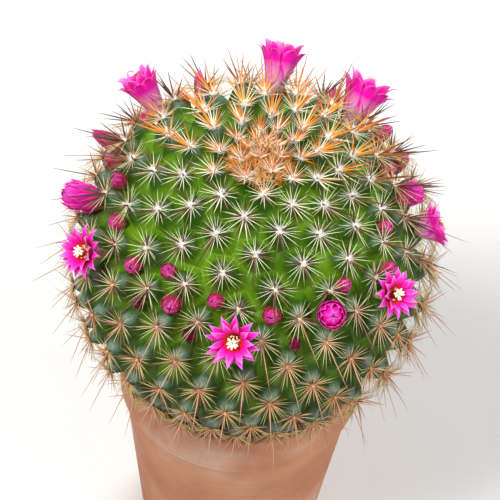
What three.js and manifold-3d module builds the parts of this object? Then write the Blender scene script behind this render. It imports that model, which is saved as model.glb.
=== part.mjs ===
// A potted globe cactus of the mammillaria kind, in flower.
// Millimetres, +Z up. The origin is the middle of the pot's flat base.
// Azimuth 0 is the front (-Y) and grows towards +X; the polar angle is 0 at the crown.

import * as THREE from 'three';
import { ConvexHull } from 'three/addons/math/ConvexHull.js';
import { mergeVertices } from 'three/addons/utils/BufferGeometryUtils.js';
import Module from 'manifold-3d';

const wasm = await Module();
wasm.setup();

// Driving dimensions of the pot and its soil
const POT_HEIGHT = 62;
const POT_FOOT_RADIUS = 24;
const POT_WALL_TOP_RADIUS = 31.2;
const POT_COLLAR_RADIUS = 33.5;
const POT_COLLAR_HEIGHT = 14;
const POT_MOUTH_RADIUS = 30.6;
const POT_FLOOR_RADIUS = 21.4;
const POT_FLOOR = 3;
const POT_SIDES = 28;
const DRAIN_RADIUS = 2.6;
const DRAIN_CIRCLE = 13;
const DRAIN_COUNT = 4;
const SOIL_BELOW_RIM = 3.8;
const SOIL_GRIT = 0.5;
const SOIL_HOLE_FLARE = 6.5;
const SOIL_HOLE_SHOULDER = 2.4;
const TOUCH_GAP = 0.3;

// Driving dimensions of the body, measured to the areoles at the tubercles' tips
const BODY_RADIUS = 48.6;
const BODY_HALF_HEIGHT = 46.9;
const BODY_CENTRE_Z = POT_HEIGHT + 37.5;
const TAPER_START = rad(131);
const TAPER_RATE = 6;
const LAST_POLAR = rad(138);

// Below the tubercles the body narrows to a plain neck that stands in the soil: its rings
const NECK_RINGS = [
  { spots: 14, polar: rad(153), radius: 14.2, z: 54 },
  { spots: 9, polar: rad(163), radius: 12.6, z: 45 },
  { spots: 5, polar: rad(172), radius: 8.5, z: 38 },
  { spots: 1, polar: Math.PI, radius: 0, z: 35.5 },
];

// The tubercle spiral: each next tubercle turns by this angle and steps outward
const DIVERGENCE = rad(99.4854);
const FIRST_AZIMUTH = rad(-30.49);
const SPIRAL_REACH = 54;
const SPIRAL_SCALE = 120;
const SPIRAL_COUNT = 240;
const SPIRAL_GROWTH = { half: -0.4183, one: 2.9513, oneAndHalf: -1.9333, two: 0.6232 };
const ARC_UNEVEN = { cos: -0.0361, sin: -0.0525, cosTwice: -0.0047, sinTwice: 0.0169 };
const TURN_UNEVEN = { cos: 0.1129, sin: -0.1365, cosTwice: -0.0273, sinTwice: 0.0492 };

// Tubercles and areoles
const TUBERCLE_SHARE = 0.47;
const TUBERCLE_MOST = 6.4;
const TUBERCLE_LEAST = 1.3;
const UPWARD_LEAN = 0.12;
const AREOLE_RADIUS = 0.85;
const AREOLE_CORE = 0.36;
const AREOLE_SWELL = 0.3;

// Spines: on the upper front eight radials round each areole and four centrals from its middle,
// elsewhere six and three, which are a little thicker at the root
const FULL_SPINES = { radials: 8, centrals: 4, thickness: 0.62 };
const FEWER_SPINES = { radials: 6, centrals: 3, thickness: 0.86 };
const UPPER_FRONT = compass(0, Math.cos(rad(48.6)), Math.sin(rad(48.6)));
const UPPER_FRONT_SHARE = 0.66;
const RADIAL_LENGTH = 7.2;
const CENTRAL_LENGTH = 8.2;
const LONG_CENTRAL_LENGTH = 15;
const YOUNG_LENGTH = 5.6;
const SPINE_CLEARANCE = 0.1;
const SPINE_OFF_POT = 0.8;
const SPINE_OFF_SOIL = 1.2;
const PARTED_SHARE = 0.35;

// Blooms
const PETAL_THICKNESS = 0.65;
const BLOOM_ROOT_RADIUS = 1.0;
const BLOOM_REACH = 26;
const BLOOM_SLIDE_STEP = 0.1;
const BLOOM_SLIDE_MOST = 5;
const ENVELOPE_BAND = 1.6;
const STAMEN_COLUMNS = 10;
const FLOWER_SHAPES = {
  open: { petals: 8, throatShare: 0.62, innerSpread: 0.62, innerRise: 1.3 },
  trumpet: { petals: 7, throatShare: 0.45, innerSpread: 0.42, innerRise: 0.2 },
};

const PLANT_GREEN = 0x4f7d2c;
const TERRACOTTA = 0xb5673f;
const SOIL_BROWN = 0x4a3a2c;
const PETAL_MAGENTA = 0xe81fb0;
const BUD_PINK = 0xb32a66;
const WITHERED_PINK = 0x6e2148;
const STAMEN_CREAM = 0xf3dc9a;

// Every bloom: the axil that it grows from, as azimuth and polar angle in degrees, then the
// place that its tip reaches, with its rise above the areoles, then its form and radius
const BLOOMS = [
  ['flower_01', [-1, 66], [-3, 65, 7], 'open', 7.8],
  ['flower_02', [56, 67], [54, 63, 7], 'open', 7.0],
  ['flower_03', [35, 63], [30, 60, 5], 'half', 3.9],
  ['flower_04', [-67, 68], [-64, 66, 7], 'open', 7.4],
  ['flower_05', [-91, 65], [-89, 67, 7], 'half', 4.2],
  ['flower_06', [-136, 58], [-133, 55, 11.2], 'trumpet', 5.4],
  ['flower_07', [177, 41], [175, 44, 11.5], 'trumpet', 6.3],
  ['flower_08', [139, 50], [142, 51, 11], 'trumpet', 7.2],
  ['flower_09', [86, 65], [91, 67, 6], 'open', 6.2],
  ['flower_10', [95, 55], [99, 58, 4], 'half', 3.4],
  ['flower_11', [-117, 61], [-115, 66, 6.5], 'closed', 2.6],
  ['bud_01', [133, 58], [129, 58, 4.2], 'closed', 2.5],
  ['bud_02', [118, 64], [118, 61, 3], 'closed', 2.4],
  ['bud_03', [-92, 55], [-89, 52, 0], 'bud', 2.4],
  ['bud_04', [-71, 54], [-70, 57, 0], 'bud', 2.5],
  ['bud_05', [-53, 60], [-49, 60, 0], 'bud', 2.6],
  ['bud_06', [-37, 55], [-34, 52, 0], 'bud', 2.3],
  ['bud_07', [-31, 62], [-27, 63, 0.5], 'bud', 2.9],
  ['bud_08', [-44, 70], [-40, 68, 0], 'withered', 2.0],
  ['bud_09', [-10, 56], [-13, 56, 0], 'bud', 2.3],
  ['bud_10', [12, 59], [9, 59, 0], 'bud', 2.6],
  ['bud_11', [40, 55], [42, 55, 0], 'bud', 2.3],
  ['bud_12', [21, 70], [17, 70, 0.5], 'withered', 1.6],
  ['bud_13', [-22, 72], [-18, 70, 0.5], 'withered', 1.7],
  ['bud_14', [77, 51], [75, 51, 0], 'bud', 2.3],
  ['bud_15', [64, 63], [65, 61, 0], 'bud', 2.3],
  ['bud_16', [-108, 63], [-107, 62, 0.5], 'closed', 2.3],
  ['bud_17', [-146, 56], [-144, 54, 1.5], 'closed', 2.2],
  ['bud_18', [148, 52], [153, 52, 3.5], 'closed', 2.2],
  ['bud_19', [108, 49], [107, 51, 0.5], 'bud', 2.3],
  ['bud_20', [-128, 49], [-127, 56, 1], 'closed', 2.1],
  ['bud_21', [-148, 45], [-152, 48, 4.8], 'closed', 1.9],
];

function rad(degrees) {
  return degrees * Math.PI / 180;
}

function draw(row, column) {
  // A repeatable draw between 0 and 1 for each pair of whole numbers
  const scattered = Math.sin(row * 12.9898 + column * 78.233) * 43758.5453;
  return scattered - Math.floor(scattered);
}

function mix(from, to, share) {
  return from + (to - from) * share;
}

function smooth(low, high, value) {
  const share = Math.min(Math.max((value - low) / (high - low), 0), 1);
  return share * share * (3 - 2 * share);
}

function compass(azimuth, across, z) {
  return new THREE.Vector3(across * Math.sin(azimuth), -across * Math.cos(azimuth), z);
}

// The body's smooth surface through the areoles

function meridianRadius(polar) {
  const past = Math.max(polar - TAPER_START, 0);
  return BODY_RADIUS * Math.sin(polar) * Math.max(1 - TAPER_RATE * past * past, 0);
}

function outward(azimuth, polar) {
  const step = 0.01;
  const slope = (meridianRadius(polar + step) - meridianRadius(polar - step)) / (2 * step);
  return compass(azimuth, BODY_HALF_HEIGHT * Math.sin(polar), slope).normalize();
}

function onBody(azimuth, polar, rise = 0) {
  const height = BODY_CENTRE_Z + BODY_HALF_HEIGHT * Math.cos(polar);
  const point = compass(azimuth, meridianRadius(polar), height);
  return point.addScaledVector(outward(azimuth, polar), rise);
}

function polarAtArc(arc) {
  // The polar angle at a distance from the crown, measured along the meridian
  const step = 0.002;
  let polar = 0;
  let run = 0;
  while (run < arc && polar < Math.PI) {
    run += step * Math.hypot(BODY_RADIUS * Math.cos(polar), BODY_HALF_HEIGHT * Math.sin(polar));
    polar += step;
  }
  return polar;
}

function wave(parts, turn) {
  return parts.cos * Math.cos(turn) + parts.sin * Math.sin(turn)
    + parts.cosTwice * Math.cos(2 * turn) + parts.sinTwice * Math.sin(2 * turn);
}

function spiralPlace(index) {
  // The body has grown a little unevenly, so the steps and turns differ round it
  const turn = FIRST_AZIMUTH - DIVERGENCE * index;
  const age = (index + 4) / SPIRAL_SCALE;
  const { half, one, oneAndHalf, two } = SPIRAL_GROWTH;
  const growth = half * Math.sqrt(age) + one * age + oneAndHalf * age ** 1.5 + two * age * age;
  const arc = SPIRAL_REACH * growth * (1 + wave(ARC_UNEVEN, turn));
  return { index, arc, azimuth: turn + wave(TURN_UNEVEN, turn), polar: polarAtArc(arc) };
}

// Sites: one for each tubercle, then the plain spots that close the neck below them

function tubercleSites() {
  return Array.from({ length: SPIRAL_COUNT }, (_, index) => spiralPlace(index))
    .filter((place) => place.polar < LAST_POLAR)
    .map((place) => ({
      ...place,
      tip: onBody(place.azimuth, place.polar),
      chart: compass(place.azimuth, Math.sin(place.polar), Math.cos(place.polar)),
      plain: false,
    }));
}

function neckSites() {
  return NECK_RINGS.flatMap((ring) => Array.from({ length: ring.spots }, (_, step) => {
    const azimuth = 2 * Math.PI * step / ring.spots + ring.polar;
    return {
      azimuth,
      base: compass(azimuth, ring.radius, ring.z),
      chart: compass(azimuth, Math.sin(ring.polar), Math.cos(ring.polar)),
      plain: true,
    };
  }));
}

function joinNeighbours(sites) {
  // Each triangle of the hull round the sites' directions marks one axil between three sites
  const hull = new ConvexHull().setFromPoints(sites.map((site) => site.chart));
  const siteOf = new Map(sites.map((site) => [site.chart, site]));
  for (const site of sites) {
    site.axils = [];
    site.neighbours = new Set();
  }
  return hull.faces.map((face) => {
    const edges = [face.edge, face.edge.next, face.edge.prev];
    const trio = edges.map((edge) => siteOf.get(edge.head().point));
    const axil = { trio };
    for (const site of trio) {
      site.axils.push(axil);
      trio.filter((other) => other !== site).forEach((other) => site.neighbours.add(other));
    }
    return axil;
  });
}

function shapeTubercle(site) {
  const near = [...site.neighbours].filter((other) => !other.plain);
  const spacing = near.reduce((sum, other) => sum + other.tip.distanceTo(site.tip), 0) / near.length;
  const height = Math.min(Math.max(spacing * TUBERCLE_SHARE, TUBERCLE_LEAST), TUBERCLE_MOST);
  const east = compass(site.azimuth + Math.PI / 2, 1, 0);
  const normal = outward(site.azimuth, site.polar);
  const up = normal.clone().cross(east);
  site.axis = normal.addScaledVector(up, UPWARD_LEAN).normalize();
  site.side = east;
  site.down = east.clone().cross(site.axis).normalize();
  site.base = site.tip.clone().addScaledVector(site.axis, -height);
  site.youth = 1 - smooth(7, 26, site.arc);
  site.areole = AREOLE_RADIUS * mix(0.6, 1, smooth(0, 12, site.arc));
  const isUpperFront = site.axis.dot(UPPER_FRONT) > UPPER_FRONT_SHARE;
  Object.assign(site, isUpperFront ? FULL_SPINES : FEWER_SPINES);
}

function placeAxil(axil) {
  const [first, second, third] = axil.trio;
  axil.point = first.base.clone().add(second.base).add(third.base).divideScalar(3);
  axil.chart = first.chart.clone().add(second.chart).add(third.chart).normalize();
}

function turnRound(site, direction) {
  // The angle of a direction round a site, from straight down the body towards the east
  const east = compass(site.azimuth + Math.PI / 2, 1, 0);
  const south = east.clone().cross(site.chart);
  return Math.atan2(direction.dot(east), direction.dot(south));
}

function sortAxils(site) {
  const turnOf = (axil) => turnRound(site, axil.chart.clone().sub(site.chart));
  site.axils.sort((one, other) => turnOf(one) - turnOf(other));
}

// The areole: a rim with a point between each two radials, round a raised core and a middle point

function onAreole(site, radius, turn, rise) {
  return site.tip.clone()
    .addScaledVector(site.down, radius * Math.cos(turn))
    .addScaledVector(site.side, radius * Math.sin(turn))
    .addScaledVector(site.axis, rise);
}

function shapeAreole(site) {
  const { areole, radials, centrals } = site;
  const core = areole * AREOLE_CORE / AREOLE_RADIUS;
  site.rim = Array.from({ length: radials }, (_, step) => (
    onAreole(site, areole, 2 * Math.PI * (step - 0.5) / radials, 0)));
  site.core = Array.from({ length: centrals }, (_, step) => (
    onAreole(site, core, 2 * Math.PI * (step + 0.5) / centrals, AREOLE_SWELL)));
  site.middle = onAreole(site, 0, 0, AREOLE_SWELL * 1.5);
}

function flankTriangles(site) {
  // Triangles between the axils round the foot of a tubercle and the rim of its areole
  const corners = site.axils.map((axil) => axil.point);
  if (site.plain) {
    return corners.map((corner, step) => [corner, corners[(step + 1) % corners.length], site.base]);
  }
  const fullTurn = 2 * Math.PI;
  const { radials } = site;
  const cornerTurns = site.axils.map((axil) => turnRound(site, axil.chart.clone().sub(site.chart)));
  const rimTurn = (step) => fullTurn * (step - 0.5) / radials;
  const cornerTurn = (step) => (
    cornerTurns[step % corners.length] + fullTurn * Math.floor(step / corners.length));
  const triangles = [];
  let corner = cornerTurns.findIndex((turn) => turn > rimTurn(0));
  let rim = 0;
  const lastCorner = corner + corners.length;
  while (rim < radials || corner < lastCorner) {
    const rimMiddle = (rimTurn(rim) + rimTurn(rim + 1)) / 2;
    const cornerMiddle = (cornerTurn(corner) + cornerTurn(corner + 1)) / 2;
    const takeRim = corner >= lastCorner || (rim < radials && rimMiddle < cornerMiddle);
    const here = corners[corner % corners.length];
    const rimHere = site.rim[rim % radials];
    if (takeRim) {
      triangles.push([rimHere, here, site.rim[(rim + 1) % radials]]);
      rim += 1;
    } else {
      triangles.push([here, corners[(corner + 1) % corners.length], rimHere]);
      corner += 1;
    }
  }
  return triangles;
}

// Blooms: each one stands in an axil and points at its own place above the body

function ringOf(count, at) {
  return Array.from({ length: count }, (_, step) => at(2 * Math.PI * step / count, step));
}

function petalCurve(form, throat, tip, share) {
  // The way of a petal from the throat to its tip, as radius and height
  const across = form === 'open' ? share : share ** (form === 'trumpet' ? 2.2 : 0.8);
  const upward = form === 'open' ? Math.sin(share * Math.PI / 2) ** 0.8 : share;
  return new THREE.Vector2(mix(throat.x, tip.x, across), mix(throat.y, tip.y, upward));
}

function petalFaces(form, throat, tip, share) {
  // The outer and the inner face of a petal at that share of its length
  const outer = petalCurve(form, throat, tip, share);
  const ahead = petalCurve(form, throat, tip, share + 0.02).sub(outer).normalize();
  const inner = outer.clone().add(new THREE.Vector2(-ahead.y, ahead.x).multiplyScalar(PETAL_THICKNESS));
  return { outer, inner };
}

function petalReach(step, offset) {
  // Four columns to a petal: its tip, a flank, the notch and the next flank
  return [1, 0.62, 0.2, 0.62][(step + offset) % 4];
}

function profileRing(columns, at) {
  // A ring whose points each take a radius and a height of their own
  return ringOf(columns, (turn, step) => {
    const place = at(step);
    return compass(turn, place.x, place.y);
  });
}

function flowerRings(form, height, radius) {
  // Two layers of petals round a tube, the inner one turned by half a petal
  const { petals, throatShare, innerSpread, innerRise } = FLOWER_SHAPES[form];
  const columns = 4 * petals;
  const throat = new THREE.Vector2(2.3, height * throatShare);
  const tip = new THREE.Vector2(radius, height);
  const groove = new THREE.Vector2(1.4, throat.y + 0.4);
  const innerTip = new THREE.Vector2(radius * innerSpread, height + innerRise);
  const still = (x, y) => profileRing(columns, () => new THREE.Vector2(x, y));
  const outerLayer = (face, share) => profileRing(columns, (step) => (
    petalFaces(form, throat, tip, petalReach(step, 0) * share)[face]));
  const innerLayer = (face) => profileRing(columns, (step) => (
    petalFaces(form, groove, innerTip, petalReach(step, 2))[face]));
  return {
    rings: [
      still(BLOOM_ROOT_RADIUS, 0),
      still(throat.x, throat.y),
      outerLayer('outer', 0.5),
      outerLayer('outer', 1),
      outerLayer('inner', 1),
      outerLayer('inner', 0.5),
      still(groove.x, groove.y),
      innerLayer('outer'),
      innerLayer('inner'),
      still(0.95, throat.y + 0.75),
    ],
    end: throat.y + 0.2,
  };
}

function cupRings(height, radius) {
  // A half-open flower: one cup of five upright petals, hollow at the top
  const columns = 20;
  const throat = new THREE.Vector2(2.1, height * 0.42);
  const tip = new THREE.Vector2(radius, height);
  const ring = (at) => profileRing(columns, at);
  const still = (x, y) => ring(() => new THREE.Vector2(x, y));
  const petal = (step) => petalFaces('half', throat, tip, mix(0.5, 1, petalReach(step, 0)));
  return {
    rings: [
      still(BLOOM_ROOT_RADIUS, 0),
      still(throat.x, throat.y),
      ring((step) => petalFaces('half', throat, tip, mix(0.5, 1, petalReach(step, 0)) * 0.6).outer),
      ring((step) => petal(step).outer),
      ring((step) => petal(step).inner),
      still(1.2, height * 0.62),
    ],
    end: height * 0.55,
  };
}

function budRings(form, height, radius) {
  // A closed head with ridged scales; a withered one is pinched and twisted
  const columns = 8;
  const ridge = { closed: 0.1, bud: 0.08, withered: 0.26 }[form];
  const twist = form === 'withered' ? 0.9 : 0.25;
  const widest = form === 'closed' ? 0.72 : 0.62;
  const ring = (share, across) => ringOf(columns, (turn, step) => (
    compass(turn + twist * share, across * (1 + (step % 2 ? ridge : -ridge)), height * share)));
  return {
    rings: [
      ringOf(columns, (turn) => compass(turn, BLOOM_ROOT_RADIUS, 0)),
      ring(widest * 0.5, radius * 0.72),
      ring(widest, radius),
      ring(mix(widest, 1, 0.6), radius * 0.72),
    ],
    end: height,
  };
}

function bloomRings(form, height, radius) {
  if (form === 'open' || form === 'trumpet') return flowerRings(form, height, radius);
  if (form === 'half') return cupRings(height, radius);
  return budRings(form, height, radius);
}

function bloomSpots(bloom) {
  // Points all over the bloom, on its rings and between them, in the bloom's own frame
  const { rings } = bloomRings(bloom.form, bloom.height, bloom.radius);
  const between = rings.slice(1).flatMap((ring, level) => (
    [0.25, 0.5, 0.75].flatMap((share) => ring.map((spot, step) => (
      rings[level][step].clone().lerp(spot, share))))));
  return [...rings.flat(), ...between];
}

function bloomEnvelope(bloom) {
  // The widest reach of the bloom from its axis in each half millimetre of its height
  const widest = new Map();
  for (const spot of bloomSpots(bloom)) {
    const level = Math.round(spot.z * 2) / 2;
    widest.set(level, Math.max(widest.get(level) ?? 0, Math.hypot(spot.x, spot.y)));
  }
  return [...widest].map(([level, reach]) => ({ level, reach }));
}

function reachAt(envelope, along) {
  // The widest reach of the bloom near a height along its axis
  const near = envelope.filter((band) => Math.abs(band.level - along) < ENVELOPE_BAND);
  return Math.max(0, ...near.map((band) => band.reach));
}

function clearanceOfBloom(bloom, triangles) {
  // The least gap between the bloom, where it stands now, and the body's faces
  const turn = new THREE.Quaternion().setFromUnitVectors(new THREE.Vector3(0, 0, 1), bloom.heading);
  const closest = new THREE.Vector3();
  let least = Infinity;
  for (const spot of bloomSpots(bloom)) {
    const point = spot.applyQuaternion(turn).add(bloom.root);
    for (const triangle of triangles) {
      triangle.closestPointToPoint(point, closest);
      least = Math.min(least, closest.distanceTo(point));
    }
  }
  return least;
}

function seatBloom([name, from, to, form, radius], axils, flanks) {
  // The bloom slides out along its heading until its root stands clear in its axil
  const wanted = onBody(rad(from[0]), rad(from[1]), -TUBERCLE_MOST);
  const open = axils.filter((axil) => axil.trio.every((site) => !site.plain));
  const axil = open.reduce((best, other) => (
    other.point.distanceTo(wanted) < best.point.distanceTo(wanted) ? other : best));
  const tip = onBody(rad(to[0]), rad(to[1]), to[2]);
  const heading = tip.clone().sub(axil.point).normalize();
  const bloom = { name, form, radius, heading };
  const near = flanks.filter((flank) => flank.a.distanceTo(axil.point) < BLOOM_REACH);
  let slide = TOUCH_GAP;
  do {
    slide += BLOOM_SLIDE_STEP;
    bloom.root = axil.point.clone().addScaledVector(heading, slide);
    bloom.height = tip.distanceTo(bloom.root);
  } while (clearanceOfBloom(bloom, near) < TOUCH_GAP && slide < BLOOM_SLIDE_MOST);
  bloom.envelope = bloomEnvelope(bloom);
  return bloom;
}

// Spines: three-sided needles raised from the areole's own triangles

function spineWishes(site) {
  const { index, youth, arc, radials, centrals } = site;
  const wishes = [];
  for (let step = 0; step < centrals; step += 1) {
    const long = step === 0;
    const turn = 2 * Math.PI * step / centrals + rad(mix(-12, 12, draw(index, step)));
    const lift = rad(mix(long ? 30 : 44, long ? 46 : 60, draw(index, step + 10)));
    const grown = (long ? LONG_CENTRAL_LENGTH : CENTRAL_LENGTH) * mix(0.82, 1.12, draw(index, step + 20));
    const length = mix(grown, YOUNG_LENGTH * 1.5, smooth(0.25, 1, youth));
    wishes.push({ place: 'core', step, turn, lift: mix(lift, rad(76), youth), length });
  }
  for (let step = 0; step < radials; step += 1) {
    const turn = 2 * Math.PI * step / radials + rad(mix(-6, 6, draw(index, step + 30)));
    const lift = rad(mix(15, 26, draw(index, step + 40)));
    const grown = RADIAL_LENGTH * mix(0.86, 1.1, draw(index, step + 50)) * (1 + 0.1 * Math.cos(turn));
    const length = mix(grown, YOUNG_LENGTH * mix(0.55, 1, smooth(0, 9, arc)), youth);
    wishes.push({ place: 'rim', step, turn, lift: mix(lift, rad(54), youth), length });
  }
  return wishes;
}

function spineRoot(site, wish) {
  const { rim, core, middle, radials, centrals } = site;
  if (wish.place === 'core') {
    return [core[(wish.step + centrals - 1) % centrals], core[wish.step], middle];
  }
  return [rim[wish.step], rim[(wish.step + 1) % radials], core[Math.floor(wish.step / 2)]];
}

function spineLine(site, wish, bend) {
  const turn = wish.turn + rad(bend[0]);
  const lift = Math.min(wish.lift + rad(bend[1]), rad(86));
  const heading = site.down.clone().multiplyScalar(Math.cos(turn) * Math.cos(lift))
    .addScaledVector(site.side, Math.sin(turn) * Math.cos(lift))
    .addScaledVector(site.axis, Math.sin(lift));
  const root = spineRoot(site, wish);
  const from = root[0].clone().add(root[1]).add(root[2]).divideScalar(3);
  return { site, from, to: from.clone().addScaledVector(heading, wish.length * bend[2]) };
}

function spineRadius(line, share) {
  return line.site.thickness / 2 * (1 - share) + 0.02;
}

function gapBetweenSpines(one, other) {
  // The least gap between two straight needles, their taper taken off; on one areole their
  // roots touch, so there it counts from where they have parted
  let least = Infinity;
  const direction = other.to.clone().sub(other.from);
  const size = direction.lengthSq();
  const first = one.site === other.site ? PARTED_SHARE : 0;
  for (let step = 0; step <= 16; step += 1) {
    const share = mix(first, 1, step / 16);
    const point = one.from.clone().lerp(one.to, share);
    const along = Math.min(Math.max(point.clone().sub(other.from).dot(direction) / size, 0), 1);
    const distance = other.from.clone().addScaledVector(direction, along).distanceTo(point);
    least = Math.min(least, distance - spineRadius(one, share) - spineRadius(other, along));
  }
  return least;
}

function clearOfPot(point) {
  // Needles may hang beside the collar, over the rim or inside the mouth above the soil
  const across = Math.hypot(point.x, point.y);
  const outside = POT_COLLAR_RADIUS + SPINE_OFF_POT;
  if (across > outside || point.z > POT_HEIGHT + SPINE_OFF_POT) return true;
  const inside = POT_MOUTH_RADIUS - SPINE_OFF_SOIL;
  return across < inside && point.z > POT_HEIGHT - SOIL_BELOW_RIM + SPINE_OFF_SOIL;
}

function clearOfBloom(point, bloom, margin) {
  const offset = point.clone().sub(bloom.root);
  const along = offset.dot(bloom.heading);
  if (along < -ENVELOPE_BAND || along > bloom.height + 2 * ENVELOPE_BAND) return true;
  const away = Math.sqrt(Math.max(offset.lengthSq() - along * along, 0));
  return away > reachAt(bloom.envelope, along) + margin;
}

function isClear(line, grown, blooms, flanks) {
  const middle = line.from.clone().lerp(line.to, 0.5);
  const half = line.from.distanceTo(line.to) / 2;
  const crossing = grown.some((other) => (
    other.middle.distanceTo(middle) < half + other.half + 1
    && (gapBetweenSpines(line, other) < SPINE_CLEARANCE
      || gapBetweenSpines(other, line) < SPINE_CLEARANCE)));
  if (crossing) return false;
  const nearBlooms = blooms.filter((bloom) => bloom.root.distanceTo(middle) < half + bloom.height + 9);
  const nearFlanks = flanks.filter((flank) => (
    flank.site !== line.site && flank.a.distanceTo(middle) < half + 9));
  const closest = new THREE.Vector3();
  for (let step = 1; step <= 12; step += 1) {
    const share = step / 12;
    const point = line.from.clone().lerp(line.to, share);
    const thick = spineRadius(line, share);
    if (!clearOfPot(point)) return false;
    if (!nearBlooms.every((bloom) => clearOfBloom(point, bloom, thick + 0.4))) return false;
    const meets = nearFlanks.some((flank) => (
      flank.closestPointToPoint(point, closest).distanceTo(point) < thick + 0.1));
    if (meets) return false;
  }
  return true;
}

function growSpines(sites, blooms, flanks) {
  // Each needle takes the first way that is clear of all else: turn, lift and length
  const bends = [
    [0, 0, 1], [7, 0, 1], [-7, 0, 1], [0, 8, 1], [8, 8, 1], [-8, 8, 1], [14, 4, 1], [-14, 4, 1],
    [0, 16, 1], [12, 16, 1], [-12, 16, 1], [0, 26, 0.9], [16, 26, 0.9], [-16, 26, 0.9],
    [0, 36, 0.8], [0, 46, 0.7], [14, 12, 0.6], [-14, 12, 0.6], [0, 56, 0.5],
  ];
  const grown = [];
  for (const site of sites) {
    site.spines = new Map();
    for (const wish of spineWishes(site)) {
      const line = bends.map((bend) => spineLine(site, wish, bend))
        .find((candidate) => isClear(candidate, grown, blooms, flanks));
      if (!line) continue;
      line.middle = line.from.clone().lerp(line.to, 0.5);
      line.half = line.from.distanceTo(line.to) / 2;
      grown.push(line);
      site.spines.set(`${wish.place} ${wish.step}`, line.to);
    }
  }
}

function areoleTriangles(site) {
  const { rim, core, middle, spines, radials, centrals } = site;
  const triangles = [];
  const raise = (corners, apex) => {
    if (!apex) {
      triangles.push(corners);
      return;
    }
    corners.forEach((corner, step) => triangles.push([corner, corners[(step + 1) % 3], apex]));
  };
  for (let step = 0; step < radials; step += 1) {
    raise(spineRoot(site, { place: 'rim', step }), spines.get(`rim ${step}`));
  }
  for (let step = 0; step < centrals; step += 1) {
    const before = core[(step + centrals - 1) % centrals];
    triangles.push([before, rim[2 * step], core[step]]);
    raise([before, core[step], middle], spines.get(`core ${step}`));
  }
  return triangles;
}

// Solids

function solidOf(triangles) {
  // An indexed geometry with its faces out and its empty triangles dropped
  const places = triangles.flat().flatMap((point) => [point.x, point.y, point.z]);
  const loose = new THREE.BufferGeometry();
  loose.setAttribute('position', new THREE.Float32BufferAttribute(places, 3));
  return cleaned(loose);
}

function cleaned(geometry) {
  geometry.deleteAttribute('normal');
  geometry.deleteAttribute('uv');
  const merged = mergeVertices(geometry, 1e-4);
  const corners = merged.index.array;
  const place = merged.getAttribute('position');
  const at = (corner) => new THREE.Vector3().fromBufferAttribute(place, corner);
  const kept = [];
  let volume = 0;
  for (let start = 0; start < corners.length; start += 3) {
    const [a, b, c] = corners.slice(start, start + 3);
    if (a === b || b === c || c === a) continue;
    kept.push([a, b, c]);
    volume += at(a).dot(at(b).cross(at(c)));
  }
  merged.setIndex(kept.flatMap(([a, b, c]) => (volume > 0 ? [a, b, c] : [a, c, b])));
  return merged;
}

function ringTriangles(start, rings, end) {
  // Closes a stack of equal rings between two points on their common axis
  const triangles = [];
  const count = rings[0].length;
  for (let step = 0; step < count; step += 1) {
    const next = (step + 1) % count;
    triangles.push([start, rings[0][next], rings[0][step]]);
    rings.slice(1).forEach((upper, level) => {
      const lower = rings[level];
      triangles.push([lower[step], lower[next], upper[next]], [lower[step], upper[next], upper[step]]);
    });
    triangles.push([end, rings.at(-1)[step], rings.at(-1)[next]]);
  }
  return triangles;
}

function meshOf(name, geometry, color, roughness) {
  const material = new THREE.MeshStandardMaterial({ color, roughness, metalness: 0 });
  const mesh = new THREE.Mesh(geometry, material);
  mesh.name = name;
  return mesh;
}

function asManifold(geometry) {
  const vertProperties = Float32Array.from(geometry.getAttribute('position').array);
  const triVerts = Uint32Array.from(geometry.index.array);
  return new wasm.Manifold(new wasm.Mesh({ numProp: 3, vertProperties, triVerts }));
}

function asGeometry(manifold) {
  const { vertProperties, triVerts } = manifold.getMesh();
  const geometry = new THREE.BufferGeometry();
  geometry.setAttribute('position', new THREE.BufferAttribute(vertProperties, 3));
  geometry.setIndex(new THREE.BufferAttribute(triVerts, 1));
  return geometry;
}

// The pot: tapered wall, thick collar, and drain holes clear of the middle of the base

function potMouthRadius(z) {
  return mix(POT_FLOOR_RADIUS, POT_MOUTH_RADIUS, (z - POT_FLOOR) / (POT_HEIGHT - POT_FLOOR));
}

function pot() {
  const collarZ = POT_HEIGHT - POT_COLLAR_HEIGHT;
  const outline = [
    [0, 0],
    [POT_FOOT_RADIUS - 0.8, 0],
    [POT_FOOT_RADIUS, 0.8],
    [POT_WALL_TOP_RADIUS, collarZ - 1],
    [POT_COLLAR_RADIUS - 0.9, collarZ],
    [POT_COLLAR_RADIUS - 0.5, collarZ + 1],
    [POT_COLLAR_RADIUS, POT_HEIGHT - 1],
    [POT_COLLAR_RADIUS - 0.9, POT_HEIGHT],
    [POT_MOUTH_RADIUS + 0.7, POT_HEIGHT],
    [POT_MOUTH_RADIUS, POT_HEIGHT - 0.8],
    [POT_FLOOR_RADIUS, POT_FLOOR],
    [0, POT_FLOOR],
  ].map(([x, y]) => new THREE.Vector2(x, y));
  const body = new THREE.LatheGeometry(outline, POT_SIDES);
  body.rotateX(Math.PI / 2);
  let solid = asManifold(cleaned(body));
  for (let step = 0; step < DRAIN_COUNT; step += 1) {
    const hole = new THREE.CylinderGeometry(DRAIN_RADIUS, DRAIN_RADIUS, POT_FLOOR * 3, 10);
    const turn = 2 * Math.PI * (step + 0.5) / DRAIN_COUNT;
    hole.rotateX(Math.PI / 2);
    hole.translate(DRAIN_CIRCLE * Math.cos(turn), DRAIN_CIRCLE * Math.sin(turn), POT_FLOOR / 2);
    solid = solid.subtract(asManifold(cleaned(hole)));
  }
  return meshOf('pot', asGeometry(solid), TERRACOTTA, 0.85);
}

// The soil: fills the pot up to a gritty top, with a plain hole for the plant's neck

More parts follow.
